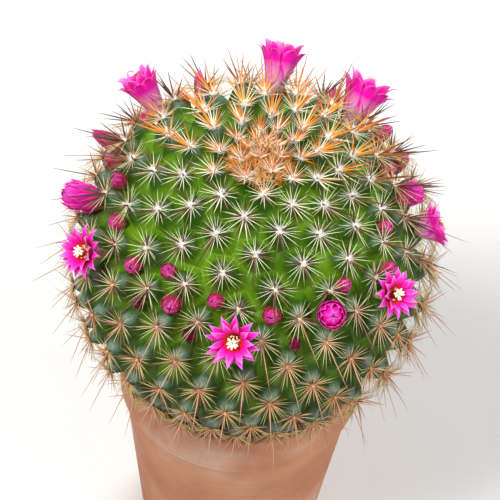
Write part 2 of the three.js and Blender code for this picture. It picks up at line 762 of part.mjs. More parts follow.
function soil() {
  const top = POT_HEIGHT - SOIL_BELOW_RIM;
  const ring = (across, z, grit = 0) => ringOf(POT_SIDES, (turn, step) => (
    compass(turn, across, z + grit * mix(-1, 1, draw(step, Math.round(across * 10))))));
  const edge = (z) => potMouthRadius(z) - TOUCH_GAP;
  const [shoulder, waist, heel, foot] = NECK_RINGS;
  const flared = shoulder.radius + SOIL_HOLE_FLARE;
  const hole = (neck) => ring(neck.radius + TOUCH_GAP, neck.z);
  const rings = [
    ring(edge(POT_FLOOR) - 0.4, POT_FLOOR + TOUCH_GAP),
    ring(edge(top), top),
    ring(mix(edge(top), flared, 1 / 3), top, SOIL_GRIT),
    ring(mix(edge(top), flared, 2 / 3), top, SOIL_GRIT),
    ring(flared, top),
    ring(shoulder.radius + SOIL_HOLE_SHOULDER, shoulder.z),
    hole(waist),
    hole(heel),
  ];
  const bottom = new THREE.Vector3(0, 0, POT_FLOOR + TOUCH_GAP);
  const holeFoot = new THREE.Vector3(0, 0, foot.z - TOUCH_GAP);
  return meshOf('soil', solidOf(ringTriangles(bottom, rings, holeFoot)), SOIL_BROWN, 1);
}

// The stem with its tubercles, areoles and spines, grown as one piece

function stem(sites) {
  const triangles = sites.flatMap((site) => (
    site.plain ? flankTriangles(site) : [...flankTriangles(site), ...areoleTriangles(site)]));
  return meshOf('stem', solidOf(triangles), PLANT_GREEN, 0.6);
}

// A bloom's head, and the stamens that stand in the throat of an open one

function placeOnBloom(mesh, bloom) {
  mesh.quaternion.setFromUnitVectors(new THREE.Vector3(0, 0, 1), bloom.heading);
  mesh.position.copy(bloom.root);
  return mesh;
}

function bloomHead(bloom) {
  const { rings, end } = bloomRings(bloom.form, bloom.height, bloom.radius);
  const start = new THREE.Vector3(0, 0, 0);
  const geometry = solidOf(ringTriangles(start, rings, new THREE.Vector3(0, 0, end)));
  const flowering = ['open', 'trumpet', 'half'].includes(bloom.form);
  const colour = { withered: WITHERED_PINK, bud: BUD_PINK, closed: BUD_PINK }[bloom.form] ?? PETAL_MAGENTA;
  const name = flowering ? `${bloom.name}_petals` : bloom.name;
  return placeOnBloom(meshOf(name, geometry, colour, 0.5), bloom);
}

function bloomStamens(bloom) {
  const { end } = bloomRings(bloom.form, bloom.height, bloom.radius);
  const seat = end + TOUCH_GAP + 0.25;
  const reach = bloom.height - seat + 0.2;
  const star = (wide, narrow, z, dip) => ringOf(STAMEN_COLUMNS, (turn, step) => (
    compass(turn, step % 2 ? narrow : wide, step % 2 ? z - dip : z)));
  const rings = [
    star(0.4, 0.4, seat, 0),
    star(0.62, 0.5, seat + reach * 0.4, 0),
    star(1.15, 0.55, seat + reach * 0.85, reach * 0.25),
  ];
  const foot = new THREE.Vector3(0, 0, seat);
  const crest = new THREE.Vector3(0, 0, seat + reach);
  const geometry = solidOf(ringTriangles(foot, rings, crest));
  return placeOnBloom(meshOf(`${bloom.name}_stamens`, geometry, STAMEN_CREAM, 0.6), bloom);
}

function buildPlant() {
  const tubercles = tubercleSites();
  const sites = [...tubercles, ...neckSites()];
  const axils = joinNeighbours(sites);
  tubercles.forEach(shapeTubercle);
  axils.forEach(placeAxil);
  sites.forEach(sortAxils);
  tubercles.forEach(shapeAreole);
  const flanks = sites.flatMap((site) => flankTriangles(site).map((corners) => (
    Object.assign(new THREE.Triangle(...corners), { site }))));
  const blooms = BLOOMS.map((row) => seatBloom(row, axils, flanks));
  growSpines(tubercles, blooms, flanks);
  const open = blooms.filter((bloom) => bloom.form === 'open' || bloom.form === 'trumpet');
  return [stem(sites), ...blooms.map(bloomHead), ...open.map(bloomStamens)];
}

const plant = new THREE.Group();
plant.add(pot(), soil(), ...buildPlant());

export default plant;
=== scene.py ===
"""A potted globe cactus of the mammillaria kind, in flower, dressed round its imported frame.

Lengths are in millimetres until a mesh is made. Azimuth 0 is the front (-Y) and grows towards +X;
the polar angle is 0 at the crown. The lattice of tubercles is the same as in the solids.
"""

from math import atan2, cos, hypot, pi, radians, sin, sqrt

import bmesh
import bpy
import numpy as np
from mathutils import Matrix, Vector


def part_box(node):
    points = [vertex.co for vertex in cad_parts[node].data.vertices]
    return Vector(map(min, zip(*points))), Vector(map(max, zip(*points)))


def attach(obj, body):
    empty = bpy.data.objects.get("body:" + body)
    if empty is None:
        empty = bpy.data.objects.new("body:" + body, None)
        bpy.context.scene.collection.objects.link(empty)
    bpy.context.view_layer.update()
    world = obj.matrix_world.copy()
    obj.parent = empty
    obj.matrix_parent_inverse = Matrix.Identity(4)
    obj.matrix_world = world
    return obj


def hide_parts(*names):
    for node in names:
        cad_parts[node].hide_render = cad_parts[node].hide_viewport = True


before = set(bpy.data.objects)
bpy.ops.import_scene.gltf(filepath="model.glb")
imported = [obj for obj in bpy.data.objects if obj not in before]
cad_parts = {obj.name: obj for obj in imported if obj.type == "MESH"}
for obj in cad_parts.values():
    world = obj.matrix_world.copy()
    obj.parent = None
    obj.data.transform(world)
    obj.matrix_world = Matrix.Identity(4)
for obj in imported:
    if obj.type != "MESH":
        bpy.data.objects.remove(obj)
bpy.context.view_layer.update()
MM = 0.001
rng = np.random.default_rng(7)

# The body, as in the solids: measured to the areoles at the tubercles' tips
POT_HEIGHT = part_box("pot")[1].z / MM
BODY_RADIUS = 48.6
BODY_HALF_HEIGHT = 46.9
BODY_CENTRE_Z = POT_HEIGHT + 37.5
TAPER_START = radians(131)
TAPER_RATE = 6
LAST_POLAR = radians(138)
DIVERGENCE = radians(99.4854)
FIRST_AZIMUTH = radians(-30.49)
SPIRAL_REACH = 54
SPIRAL_SCALE = 120
SPIRAL_COUNT = 240
SPIRAL_GROWTH = (-0.4183, 2.9513, -1.9333, 0.6232)
ARC_UNEVEN = (-0.0361, -0.0525, -0.0047, 0.0169)
TURN_UNEVEN = (0.1129, -0.1365, -0.0273, 0.0492)
TUBERCLE_SHARE = 0.47
TUBERCLE_MOST = 6.4
TUBERCLE_LEAST = 1.3
UPWARD_LEAN = 0.12

# The neck: how many spots each ring has, its polar angle, radius and height
NECK_RINGS = [(14, radians(153), 14.2, 54), (9, radians(163), 12.6, 45), (5, radians(172), 8.5, 38),
              (1, pi, 0, 35.5)]

# The pot and its soil, as in the solids
POT_FOOT_RADIUS = 24
POT_WALL_TOP_RADIUS = 31.2
POT_COLLAR_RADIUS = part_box("pot")[1].x / MM
POT_COLLAR_HEIGHT = 14
POT_MOUTH_RADIUS = 30.6
POT_FLOOR_RADIUS = 21.4
POT_FLOOR = 3
POT_EDGE = 1.1
POT_SIDES = 144
DRAIN_RADIUS = 2.6
DRAIN_CIRCLE = 13
DRAIN_COUNT = 4
SOIL_TOP = POT_HEIGHT - 3.8
SOIL_HOLE = 20.7
SOIL_SIDES = 120
SOIL_GRAINS = 620

# The skin's fineness
EDGE_STEPS = 7
FLANK_RINGS = 9
SADDLE = 0.55
FLANK_ROUNDING = 1.6
VALLEY_ROUNDING = 1.3
AREOLE_RADIUS = 0.95

# Each bloom: the node that it stands for, the axil that it grows from, as azimuth and polar angle,
# the place that its tip reaches, with its rise above the areoles, then its form and radius
BLOOMS = [
    ("flower_01", (-1, 66), (-3, 65, 7), "open", 7.8),
    ("flower_02", (56, 67), (54, 63, 7), "open", 7.0),
    ("flower_03", (35, 63), (30, 60, 5), "half", 3.9),
    ("flower_04", (-67, 68), (-64, 66, 7), "open", 7.4),
    ("flower_05", (-91, 65), (-89, 67, 7), "half", 4.2),
    ("flower_06", (-136, 58), (-133, 55, 11.2), "trumpet", 5.4),
    ("flower_07", (177, 41), (175, 44, 11.5), "trumpet", 6.3),
    ("flower_08", (139, 50), (142, 51, 11), "trumpet", 7.2),
    ("flower_09", (86, 65), (91, 67, 6), "trumpet", 6.2),
    ("flower_10", (95, 55), (99, 58, 4), "half", 3.4),
    ("flower_11", (-117, 61), (-115, 66, 6.5), "closed", 2.6),
    ("bud_01", (133, 58), (129, 58, 4.2), "closed", 2.5),
    ("bud_02", (118, 64), (118, 61, 3), "closed", 2.4),
    ("bud_03", (-92, 55), (-89, 52, 0), "bud", 2.4),
    ("bud_04", (-71, 54), (-70, 57, 0), "bud", 2.5),
    ("bud_05", (-53, 60), (-49, 60, 0), "bud", 2.6),
    ("bud_06", (-37, 55), (-34, 52, 0), "bud", 2.3),
    ("bud_07", (-31, 62), (-27, 63, 0.5), "bud", 2.9),
    ("bud_08", (-44, 70), (-40, 68, 0), "withered", 2.0),
    ("bud_09", (-10, 56), (-13, 56, 0), "bud", 2.3),
    ("bud_10", (12, 59), (9, 59, 0), "bud", 2.6),
    ("bud_11", (40, 55), (42, 55, 0), "bud", 2.3),
    ("bud_12", (21, 70), (17, 70, 0.5), "withered", 1.6),
    ("bud_13", (-22, 72), (-18, 70, 0.5), "withered", 1.7),
    ("bud_14", (77, 51), (75, 51, 0), "bud", 2.3),
    ("bud_15", (64, 63), (65, 61, 0), "bud", 2.3),
    ("bud_16", (-108, 63), (-107, 62, 0.5), "closed", 2.3),
    ("bud_17", (-146, 56), (-144, 54, 1.5), "closed", 2.2),
    ("bud_18", (148, 52), (153, 52, 3.5), "closed", 2.2),
    ("bud_19", (108, 49), (107, 51, 0.5), "bud", 2.3),
    ("bud_20", (-128, 49), (-127, 56, 1), "closed", 2.1),
    ("bud_21", (-148, 45), (-152, 48, 4.8), "closed", 1.9),
]

# Layers of petals for each form: how many, half width in mm, the share of the length at which they
# start to narrow, first turn in petals, how far they follow the circle, and the four points of
# their curve as shares of the bloom's radius and height
FLOWER_LAYERS = {
    "open": [
        (7, 0.75, 0.5, 0.2, 0.5, ((0.24, 0.4), (0.32, 0.6), (0.46, 0.82), (0.62, 0.86))),
        (12, 1.12, 0.55, 0.0, 0.3, ((0.24, 0.56), (0.34, 0.86), (0.68, 1.0), (1.02, 0.93))),
        (10, 1.08, 0.55, 0.45, 0.3, ((0.2, 0.58), (0.26, 0.92), (0.52, 1.08), (0.8, 1.12))),
    ],
    "trumpet": [
        (8, 1.3, 0.5, 0.2, 1.0, ((0.24, 0.1), (0.42, 0.25), (0.54, 0.5), (0.66, 0.7))),
        (9, 2.0, 0.66, 0.0, 1.0, ((0.3, 0.2), (0.54, 0.4), (0.74, 0.92), (1.14, 0.88))),
        (8, 1.9, 0.66, 0.5, 1.0, ((0.27, 0.24), (0.5, 0.42), (0.62, 1.02), (0.96, 1.02))),
    ],
    "half": [
        (8, 1.1, 0.5, 0.2, 1.0, ((0.34, 0.12), (0.75, 0.25), (0.95, 0.42), (1.04, 0.68))),
        (9, 1.6, 0.5, 0.0, 1.0, ((0.34, 0.22), (0.84, 0.36), (1.04, 0.78), (0.96, 0.95))),
        (9, 1.5, 0.5, 0.5, 1.0, ((0.3, 0.3), (0.84, 0.45), (0.98, 0.9), (0.62, 1.03))),
        (6, 1.9, 0.6, 0.2, 1.0, ((0.25, 0.3), (0.84, 0.5), (0.9, 0.98), (0.04, 1.05))),
    ],
    "closed": [
        (6, 1.2, 0.5, 0.2, 1.0, ((0.4, 0.04), (0.9, 0.2), (0.98, 0.45), (0.84, 0.66))),
        (6, 1.6, 0.6, 0.0, 1.0, ((0.4, 0.15), (1.0, 0.35), (0.98, 0.75), (0.3, 0.97))),
        (5, 1.4, 0.6, 0.5, 1.0, ((0.3, 0.25), (0.85, 0.45), (0.7, 0.88), (0.06, 1.0))),
    ],
    "bud": [
        (6, 1.3, 0.55, 0.2, 1.0, ((0.4, 0.04), (1.02, 0.2), (1.06, 0.5), (0.84, 0.76))),
        (6, 1.6, 0.58, 0.0, 1.0, ((0.4, 0.12), (1.04, 0.3), (0.98, 0.78), (0.3, 1.02))),
        (4, 1.5, 0.58, 0.5, 1.0, ((0.3, 0.2), (0.88, 0.45), (0.8, 0.94), (0.06, 1.06))),
    ],
    "withered": [
        (6, 0.8, 0.5, 0.2, 1.0, ((0.5, 0.04), (1.1, 0.25), (0.9, 0.5), (1.0, 0.7))),
        (6, 0.7, 0.5, 0.0, 1.0, ((0.4, 0.2), (0.9, 0.45), (0.5, 0.75), (0.6, 0.95))),
        (5, 0.6, 0.5, 0.5, 1.0, ((0.3, 0.3), (0.6, 0.5), (0.3, 0.8), (0.2, 1.0))),
    ],
}
PETAL_THICKNESS = 0.12
PETAL_STEPS = 9
PETAL_COLUMNS = 4
PETAL_CHANNEL = 0.22
STAMEN_COUNT = 22
STIGMA_LOBES = 8

# Camera: at the photograph's angle, far away with a long lens
BALL_CENTRE = Vector((0, 0, BODY_CENTRE_Z * MM))
VIEW_ELEVATION = radians(48.56)
VIEW_ROLL = -0.0922
VIEW_DISTANCE = 2.2
VIEW_WIDTH = 0.135
VIEW_SHIFT_PX = (-0.16, 9.16)
IMAGE_SIZE_PX = 500


def make_camera():
    data = bpy.data.cameras.new("camera")
    data.sensor_width = 36
    data.lens = data.sensor_width * VIEW_DISTANCE / VIEW_WIDTH
    data.clip_start = 0.05
    camera = bpy.data.objects.new("camera", data)
    bpy.context.scene.collection.objects.link(camera)
    tilt = Matrix.Rotation(pi / 2 - VIEW_ELEVATION, 4, "X") @ Matrix.Rotation(-VIEW_ROLL, 4, "Z")
    pixel = VIEW_WIDTH / IMAGE_SIZE_PX
    away = Vector((VIEW_SHIFT_PX[0] * pixel, VIEW_SHIFT_PX[1] * pixel, VIEW_DISTANCE))
    camera.matrix_world = Matrix.Translation(BALL_CENTRE) @ tilt @ Matrix.Translation(away)
    bpy.context.scene.camera = camera


make_camera()


# Small helpers

NEEDLE_TAPER = 0.7


def draw(row, column):
    """A repeatable draw between 0 and 1 for each pair of whole numbers."""
    scattered = np.sin(row * 12.9898 + column * 78.233) * 43758.5453
    return scattered - np.floor(scattered)


def mix(low, high, share):
    return low + (high - low) * share


def smooth(low, high, value):
    share = np.clip((value - low) / (high - low), 0, 1)
    return share * share * (3 - 2 * share)


def unit(vector):
    return vector / np.linalg.norm(vector, axis=-1, keepdims=True)


def compass(azimuth, across, z):
    return np.array([across * sin(azimuth), -across * cos(azimuth), z])


def around(count):
    """Evenly spaced turns of a full circle."""
    return 2 * pi * np.arange(count) / count


def ring_point(radius, turn, z):
    return np.array([radius * cos(turn), radius * sin(turn), z])


def grid_faces(rows, columns, closed=False, start=0, flip=False):
    """Quads of a grid of points, row after row."""
    faces = []
    for row in range(rows - 1):
        for column in range(columns if closed else columns - 1):
            following = (column + 1) % columns
            face = (row * columns + column, row * columns + following,
                    (row + 1) * columns + following, (row + 1) * columns + column)
            faces.append(tuple(start + corner for corner in (reversed(face) if flip else face)))
    return faces


def capped_faces(rows, columns, flip=False):
    """Faces of rings that run from one end point to another; the two points come last."""
    faces = grid_faces(rows, columns, closed=True, flip=flip)
    last, end = (rows - 1) * columns, rows * columns
    for step in range(columns):
        following = (step + 1) % columns
        for face in ((following, step, end), (last + step, last + following, end + 1)):
            faces.append((face[1], face[0], face[2]) if flip else face)
    return faces


def turned_form(outline, columns):
    """Points and faces of a closed form turned round Z; the outline runs from axis to axis."""
    points = [ring_point(radius, turn, z) for radius, z in outline[1:-1] for turn in around(columns)]
    points += [(0, 0, outline[0][1]), (0, 0, outline[-1][1])]
    return np.array(points), capped_faces(len(outline) - 2, columns)


class Shape:
    """Points, faces and numbers for each point, gathered from many small forms."""

    def __init__(self):
        self.points = []
        self.faces = []
        self.values = {}
        self.count = 0

    def add(self, points, faces, **values):
        points = np.asarray(points, float).reshape(-1, 3)
        self.points.append(points)
        self.faces += [tuple(corner + self.count for corner in face) for face in faces]
        for key, value in values.items():
            column = np.broadcast_to(np.asarray(value, float), (len(points),))
            self.values.setdefault(key, []).append(column)
        self.count += len(points)

    def piece(self, name, material, slot, replaces=(), is_smooth=True):
        """A Blender mesh of all that was gathered, riding on the plant's one body."""
        mesh = bpy.data.meshes.new(name)
        mesh.from_pydata((np.concatenate(self.points) * MM).tolist(), [], self.faces)
        for key, columns in self.values.items():
            layer = mesh.attributes.new(key, "FLOAT", "POINT")
            layer.data.foreach_set("value", np.concatenate(columns).astype(np.float32))
        mesh.polygons.foreach_set("use_smooth", [is_smooth] * len(mesh.polygons))
        mesh.materials.append(material)
        mesh.update()
        made = bpy.data.objects.new(name, mesh)
        bpy.context.scene.collection.objects.link(made)
        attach(made, "root")
        if replaces:
            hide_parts(*replaces)
        return made


def needles(shape, rows, sides, steps, *keys, **values):
    """Adds tapered needles, with the number 'along' from 0 at a root to 1 at a tip.

    Each row has a needle's root, heading, length, radius and bend, then a number for each key.
    """
    last, tip = (steps - 1) * sides, steps * sides
    faces = grid_faces(steps, sides, closed=True)
    faces += [(last + side, last + (side + 1) % sides, tip) for side in range(sides)]
    faces.append(tuple(reversed(range(sides))))
    turns = np.tile(around(sides), steps)[:, None]
    along = np.repeat(np.arange(steps) / steps, sides)[:, None]
    for root, heading, length, radius, bend, *numbers in rows:
        across = unit(np.cross(heading, (0, 0, 1) if abs(heading[2]) < 0.9 else (1, 0, 0)))
        circle = across * np.cos(turns) + np.cross(heading, across) * np.sin(turns)
        middle = root + heading * (length * along) + bend * along ** 2
        points = [*(middle + radius * (1 - along) ** NEEDLE_TAPER * circle), root + heading * length + bend]
        shape.add(points, faces, along=[*along[:, 0], 1], **dict(zip(keys, numbers)), **values)


def blob(shape, centre, axes, lumps, **values):
    """A small lumpy ball; axes are its three half-lengths as vectors."""
    rows, columns = 4, 8
    sphere = [ring_point(sin(polar), turn, cos(polar))
              for polar in pi * (np.arange(rows) + 0.5) / rows for turn in around(columns)]
    sphere = np.array(sphere + [(0, 0, 1), (0, 0, -1)])
    sphere *= 1 + lumps * (rng.random((len(sphere), 1)) - 0.5)
    shape.add(centre + sphere @ np.array(axes), capped_faces(rows, columns, flip=True), **values)


# The lattice of tubercles

def meridian_radius(polar):
    past = max(polar - TAPER_START, 0)
    return BODY_RADIUS * sin(polar) * max(1 - TAPER_RATE * past * past, 0)


def outward(azimuth, polar):
    step = 0.01
    slope = (meridian_radius(polar + step) - meridian_radius(polar - step)) / (2 * step)
    return unit(compass(azimuth, BODY_HALF_HEIGHT * sin(polar), slope))


def on_body(azimuth, polar, rise=0.0):
    height = BODY_CENTRE_Z + BODY_HALF_HEIGHT * cos(polar)
    return compass(azimuth, meridian_radius(polar), height) + rise * outward(azimuth, polar)


def polar_at_arc(arc):
    step = 0.002
    polar = 0.0
    run = 0.0
    while run < arc and polar < pi:
        run += step * hypot(BODY_RADIUS * cos(polar), BODY_HALF_HEIGHT * sin(polar))
        polar += step
    return polar


def age_at(points):
    """0 at the crown and 1 at the foot of the body, by the angle from the crown."""
    across = np.hypot(points[:, 0], points[:, 1]) / BODY_RADIUS
    height = (points[:, 2] - BODY_CENTRE_Z) / BODY_HALF_HEIGHT
    return np.arctan2(across, height) / pi


def wave(parts, turn):
    return (parts[0] * cos(turn) + parts[1] * sin(turn)
            + parts[2] * cos(2 * turn) + parts[3] * sin(2 * turn))


class Site:
    """One tubercle, or a plain spot on the neck, with its axils in order round it."""

    def __init__(self, azimuth, polar, plain):
        self.azimuth = azimuth
        self.polar = polar
        self.plain = plain
        self.chart = compass(azimuth, sin(polar), cos(polar))
        self.axils = []
        self.neighbours = set()


def tubercle_sites():
    sites = []
    for index in range(SPIRAL_COUNT):
        turn = FIRST_AZIMUTH - DIVERGENCE * index
        age = (index + 4) / SPIRAL_SCALE
        half, one, one_and_half, two = SPIRAL_GROWTH
        growth = half * sqrt(age) + one * age + one_and_half * age ** 1.5 + two * age * age
        arc = SPIRAL_REACH * growth * (1 + wave(ARC_UNEVEN, turn))
        polar = polar_at_arc(arc)
        if polar < LAST_POLAR:
            site = Site(turn + wave(TURN_UNEVEN, turn), polar, plain=False)
            site.index = index
            site.arc = arc
            site.tip = on_body(site.azimuth, polar)
            site.behind = smooth(-13, 10, site.tip[1])
            sites.append(site)
    return sites


def neck_sites():
    sites = []
    for spots, polar, radius, z in NECK_RINGS:
        for turn in around(spots):
            site = Site(turn + polar, polar, plain=True)
            site.base = compass(site.azimuth, radius, z)
            sites.append(site)
    return sites


def join_neighbours(sites):
    """Each triangle of the hull round the sites' directions marks one axil between three sites."""
    hull = bmesh.new()
    for site in sites:
        hull.verts.new(site.chart * 100)
    hull.verts.index_update()
    bmesh.ops.convex_hull(hull, input=hull.verts)
    bmesh.ops.triangulate(hull, faces=hull.faces)
    axils = []
    for face in hull.faces:
        trio = [sites[vert.index] for vert in face.verts]
        for site in trio:
            site.axils.append(len(axils))
            site.neighbours.update(other for other in trio if other is not site)
        axils.append(trio)
    hull.free()
    return axils


def shape_tubercle(site):
    near = [other for other in site.neighbours if not other.plain]
    spacing = np.mean([np.linalg.norm(other.tip - site.tip) for other in near])
    height = min(max(spacing * TUBERCLE_SHARE, TUBERCLE_LEAST), TUBERCLE_MOST)
    site.side = compass(site.azimuth + pi / 2, 1, 0)
    normal = outward(site.azimuth, site.polar)
    up = np.cross(normal, site.side)
    site.axis = unit(normal + up * UPWARD_LEAN)
    site.down = unit(np.cross(site.side, site.axis))
    site.base = site.tip - site.axis * height
    site.youth = 1 - smooth(7, 26, site.arc)
    site.areole = AREOLE_RADIUS * mix(0.6, 1, smooth(0, 12, site.arc))


def sort_axils(site, charts):
    east = compass(site.azimuth + pi / 2, 1, 0)
    south = np.cross(east, site.chart)

    def turn_of(axil):
        direction = charts[axil] - site.chart
        return atan2(direction @ east, direction @ south)

    site.axils.sort(key=turn_of)


tubercles = tubercle_sites()
sites = tubercles + neck_sites()
axils = join_neighbours(sites)
for tubercle in tubercles:
    shape_tubercle(tubercle)
axil_points = [np.mean([site.base for site in trio], axis=0) for trio in axils]
axil_charts = [unit(np.sum([site.chart for site in trio], axis=0)) for trio in axils]
for site in sites:
    sort_axils(site, axil_charts)


# Materials

class Look:
    """A procedural material: plain numbers on the shader's own sockets, and short names for nodes."""

    def __init__(self, name, roughness, **sockets):
        self.material = bpy.data.materials.new(name)
        self.material.use_nodes = True
        self.tree = self.material.node_tree
        self.shader = self.tree.nodes["Principled BSDF"]
        self.shader.inputs["Roughness"].default_value = roughness
        for label, value in sockets.items():
            self.shader.inputs[label.replace("_", " ")].default_value = value

    def put(self, target, value):
        if isinstance(value, bpy.types.NodeSocket):
            self.tree.links.new(value, target)
        elif isinstance(value, tuple) and len(value) == 3 and target.type == "RGBA":
            target.default_value = (*value, 1)
        else:
            target.default_value = value

    def node(self, kind, *values):
        """A new node, with its first inputs filled in."""
        node = self.tree.nodes.new("ShaderNode" + kind)
        for socket, value in zip(node.inputs, values):
            self.put(socket, value)
        return node

    def number(self, key):
        node = self.node("Attribute")
        node.attribute_name = key
        return node.outputs["Fac"]

    def plus(self, one, other):
        return self.node("Math", one, other).outputs[0]

    def times(self, one, other):
        node = self.node("Math", one, other)
        node.operation = "MULTIPLY"
        return node.outputs[0]

    def span(self, value, low, high, to_low=0.0, to_high=1.0):
        """A smooth step from one number to another."""
        node = self.node("MapRange", value, low, high, to_low, to_high)
        node.interpolation_type = "SMOOTHSTEP"
        return node.outputs[0]

    def mix(self, share, one, other):
        node = self.node("Mix", share)
        node.data_type = "RGBA"
        self.put(node.inputs[6], one)
        self.put(node.inputs[7], other)
        return node.outputs[2]

    def ramp(self, value, *stops):
        node = self.node("ValToRGB", value)
        elements = node.color_ramp.elements
        while len(elements) < len(stops):
            elements.new(0.5)
        for element, (place, colour) in zip(elements, stops):
            element.position = place
            element.color = (*colour, 1)
        return node.outputs[0]

    def texture(self, kind, scale, stretch=(1, 1, 1)):
        vector = self.node("TexCoord").outputs["Object"]
        mapping = self.node("Mapping", vector)
        mapping.inputs["Scale"].default_value = stretch
        node = self.node(kind, mapping.outputs[0])
        node.inputs["Scale"].default_value = scale
        return node

    def noise(self, scale, detail=3.0, stretch=(1, 1, 1)):
        node = self.texture("TexNoise", scale, stretch)
        node.inputs["Detail"].default_value = detail
        return node.outputs["Fac"]

    def speckle(self, scale):
        return self.texture("TexVoronoi", scale).outputs["Distance"]

    def bump(self, height, strength, distance):
        node = self.node("Bump", strength, distance)
        self.put(node.inputs["Height"], height)
        self.put(self.shader.inputs["Normal"], node.outputs[0])

    def painted(self, colour):
        self.put(self.shader.inputs["Base Color"], colour)
        return self.material


def skin_material():
    """Yellow-green axils with noisy patches of painted highlight, darker bluish tips, and a pale coat on the
    upward-facing flanks: partly a real waxy bloom, partly painted highlight of light from above.
    """
    look = Look("skin", 0.45, Subsurface_Weight=0.08, Subsurface_Scale=0.0015, Specular_IOR_Level=0.2)
    rise, upper, age = look.number("rise"), look.number("upper"), look.number("age")
    axil, flank, tip = (look.ramp(age, *zip((0, 0.3, 0.5, 1), colours)) for colours in (
        ((0.06, 0.17, 0.004), (0.15, 0.31, 0.006), (0.08, 0.17, 0.006), (0.05, 0.07, 0.012)),
        ((0.02, 0.08, 0.001), (0.03, 0.095, 0.001), (0.018, 0.052, 0.002), (0.03, 0.045, 0.008)),
        ((0.014, 0.055, 0.012), (0.018, 0.06, 0.016), (0.022, 0.06, 0.022), (0.04, 0.06, 0.025))))
    # Bright yellow-green in the valleys, spread in noisy patches: partly the skin's paler colour there,
    # partly painted highlight
    patchy = look.plus(look.span(rise, 0.15, 1.0, 0.0, 0.8), look.times(look.noise(75, 4), 1.2))
    low = look.mix(look.span(patchy, 0.45, 0.95), axil, flank)
    base = look.mix(look.span(patchy, 1.05, 1.45), low, tip)
    grain = look.noise(2600, 2)
    fleck = look.span(look.speckle(2300), 0.55, 0.15)
    # The pale coat: partly a real waxy bloom, partly painted highlight, strongest on the flanks that face up
    # towards the light
    wax_and_highlight_mask = look.times(look.span(upper, 0.1, 0.9), look.span(rise, 0.5, 0.92))
    wax_and_highlight_mask = look.times(wax_and_highlight_mask, look.span(look.noise(420, 3), 0.3, 0.65, 0.35, 1.0))
    wax_and_highlight_mask = look.times(wax_and_highlight_mask, look.span(age, 0.1, 0.45, 0.5, 1.0))
    wax_and_highlight = look.times(wax_and_highlight_mask, look.plus(look.times(fleck, 0.3), 0.48))
    pale = look.mix(wax_and_highlight, base, (0.34, 0.46, 0.38))
    look.bump(grain, 0.25, 0.0002)
    return look.painted(look.mix(look.span(grain, 0.4, 0.8, 0.0, 0.2), pale, (0.06, 0.14, 0.012)))


def radial_material():
    """Cream needles round the crown, then pale straw ones, more tan the lower they grow."""
    look = Look("radial_spine", 0.5, Subsurface_Weight=0.1, Subsurface_Scale=0.0005)
    along, age, tone = look.number("along"), look.number("age"), look.number("tone")
    new = look.ramp(along, (0, (0.98, 0.9, 0.75)), (0.6, (0.95, 0.85, 0.6)), (1, (0.7, 0.42, 0.15)))
    young = look.ramp(along, (0, (0.9, 0.7, 0.48)), (0.2, (0.85, 0.8, 0.55)), (0.7, (0.75, 0.78, 0.45)),
                      (1, (0.5, 0.34, 0.13)))
    old = look.ramp(along, (0, (0.7, 0.28, 0.1)), (0.25, (0.72, 0.46, 0.2)), (0.6, (0.68, 0.54, 0.22)),
                    (1, (0.4, 0.24, 0.09)))
    upper = look.mix(look.span(age, 0.08, 0.2), new, young)
    colour = look.mix(look.span(age, 0.27, 0.52), upper, old)
    return look.painted(look.mix(look.span(tone, 0.7, 0.85, 0.0, 0.85), colour, (0.24, 0.07, 0.025)))


def central_material():
    """Stout needles: orange round the crown, nearly black lower, then copper at the bottom."""
    look = Look("central_spine", 0.42, Subsurface_Weight=0.06, Subsurface_Scale=0.0005)
    along, age, tone = look.number("along"), look.number("age"), look.number("tone")
    crown = look.ramp(along, (0, (0.95, 0.52, 0.1)), (0.35, (0.85, 0.28, 0.012)), (0.8, (0.5, 0.1, 0.008)),
                      (1, (0.2, 0.03, 0.008)))
    middle = look.ramp(along, (0, (0.5, 0.18, 0.06)), (0.22, (0.09, 0.024, 0.012)),
                       (1, (0.02, 0.008, 0.006)))
    bottom = look.ramp(along, (0, (0.7, 0.28, 0.12)), (0.4, (0.6, 0.31, 0.2)), (1, (0.36, 0.17, 0.11)))
    later = look.plus(age, look.times(tone, 0.05))
    upper = look.mix(look.span(later, 0.2, 0.31), crown, middle)
    return look.painted(look.mix(look.span(later, 0.35, 0.405), upper, bottom))


def crown_material():
    """Young bristles: orange ones, and cream ones, of which most stand at the tuft's front."""
    look = Look("crown_spine", 0.5, Subsurface_Weight=0.15, Subsurface_Scale=0.0008)
    along = look.number("along")
    fresh = look.ramp(along, (0, (0.6, 0.25, 0.04)), (0.45, (0.88, 0.38, 0.04)), (0.8, (0.75, 0.26, 0.02)),
                      (1, (0.35, 0.08, 0.01)))
    pale = look.ramp(along, (0, (1.0, 0.84, 0.5)), (1, (0.98, 0.62, 0.2)))
    return look.painted(look.mix(look.span(look.number("tone"), 0.5, 0.85), fresh, pale))


def wool_material():
    look = Look("wool", 0.9, Subsurface_Weight=0.3, Subsurface_Scale=0.001, Sheen_Weight=0.4)
    pale = look.ramp(look.number("age"), (0, (0.97, 0.84, 0.62)), (0.06, (1.0, 0.97, 0.9)),
                     (0.25, (1.0, 0.93, 0.82)), (0.42, (0.8, 0.52, 0.32)), (1, (0.5, 0.3, 0.18)))
    share = look.span(look.noise(3000, 2), 0.5, 0.8, 0.0, 0.2)
    return look.painted(look.mix(share, pale, (0.75, 0.5, 0.3)))


def petal_material(name, inside, outside, edge, roughness=0.5):
    """Colours along the petal for its two faces, and how much paler its edges are."""
    look = Look(name, roughness, Subsurface_Weight=0.2, Subsurface_Scale=0.001, Specular_IOR_Level=0.3)
    along, across = look.number("along"), look.number("across")
    faces = look.mix(look.number("inner"), look.ramp(along, *outside), look.ramp(along, *inside))
    share = look.times(look.span(across, 0.3, 1.0), look.span(along, 0.5, 0.9))
    paler = look.mix(look.times(share, edge), faces, (0.92, 0.3, 0.78))
    veins = look.noise(1500, 2)
    look.bump(veins, 0.15, 0.0001)
    return look.painted(look.mix(look.span(veins, 0.45, 0.75, 0.0, 0.2), paler, (0.6, 0.004, 0.25)))


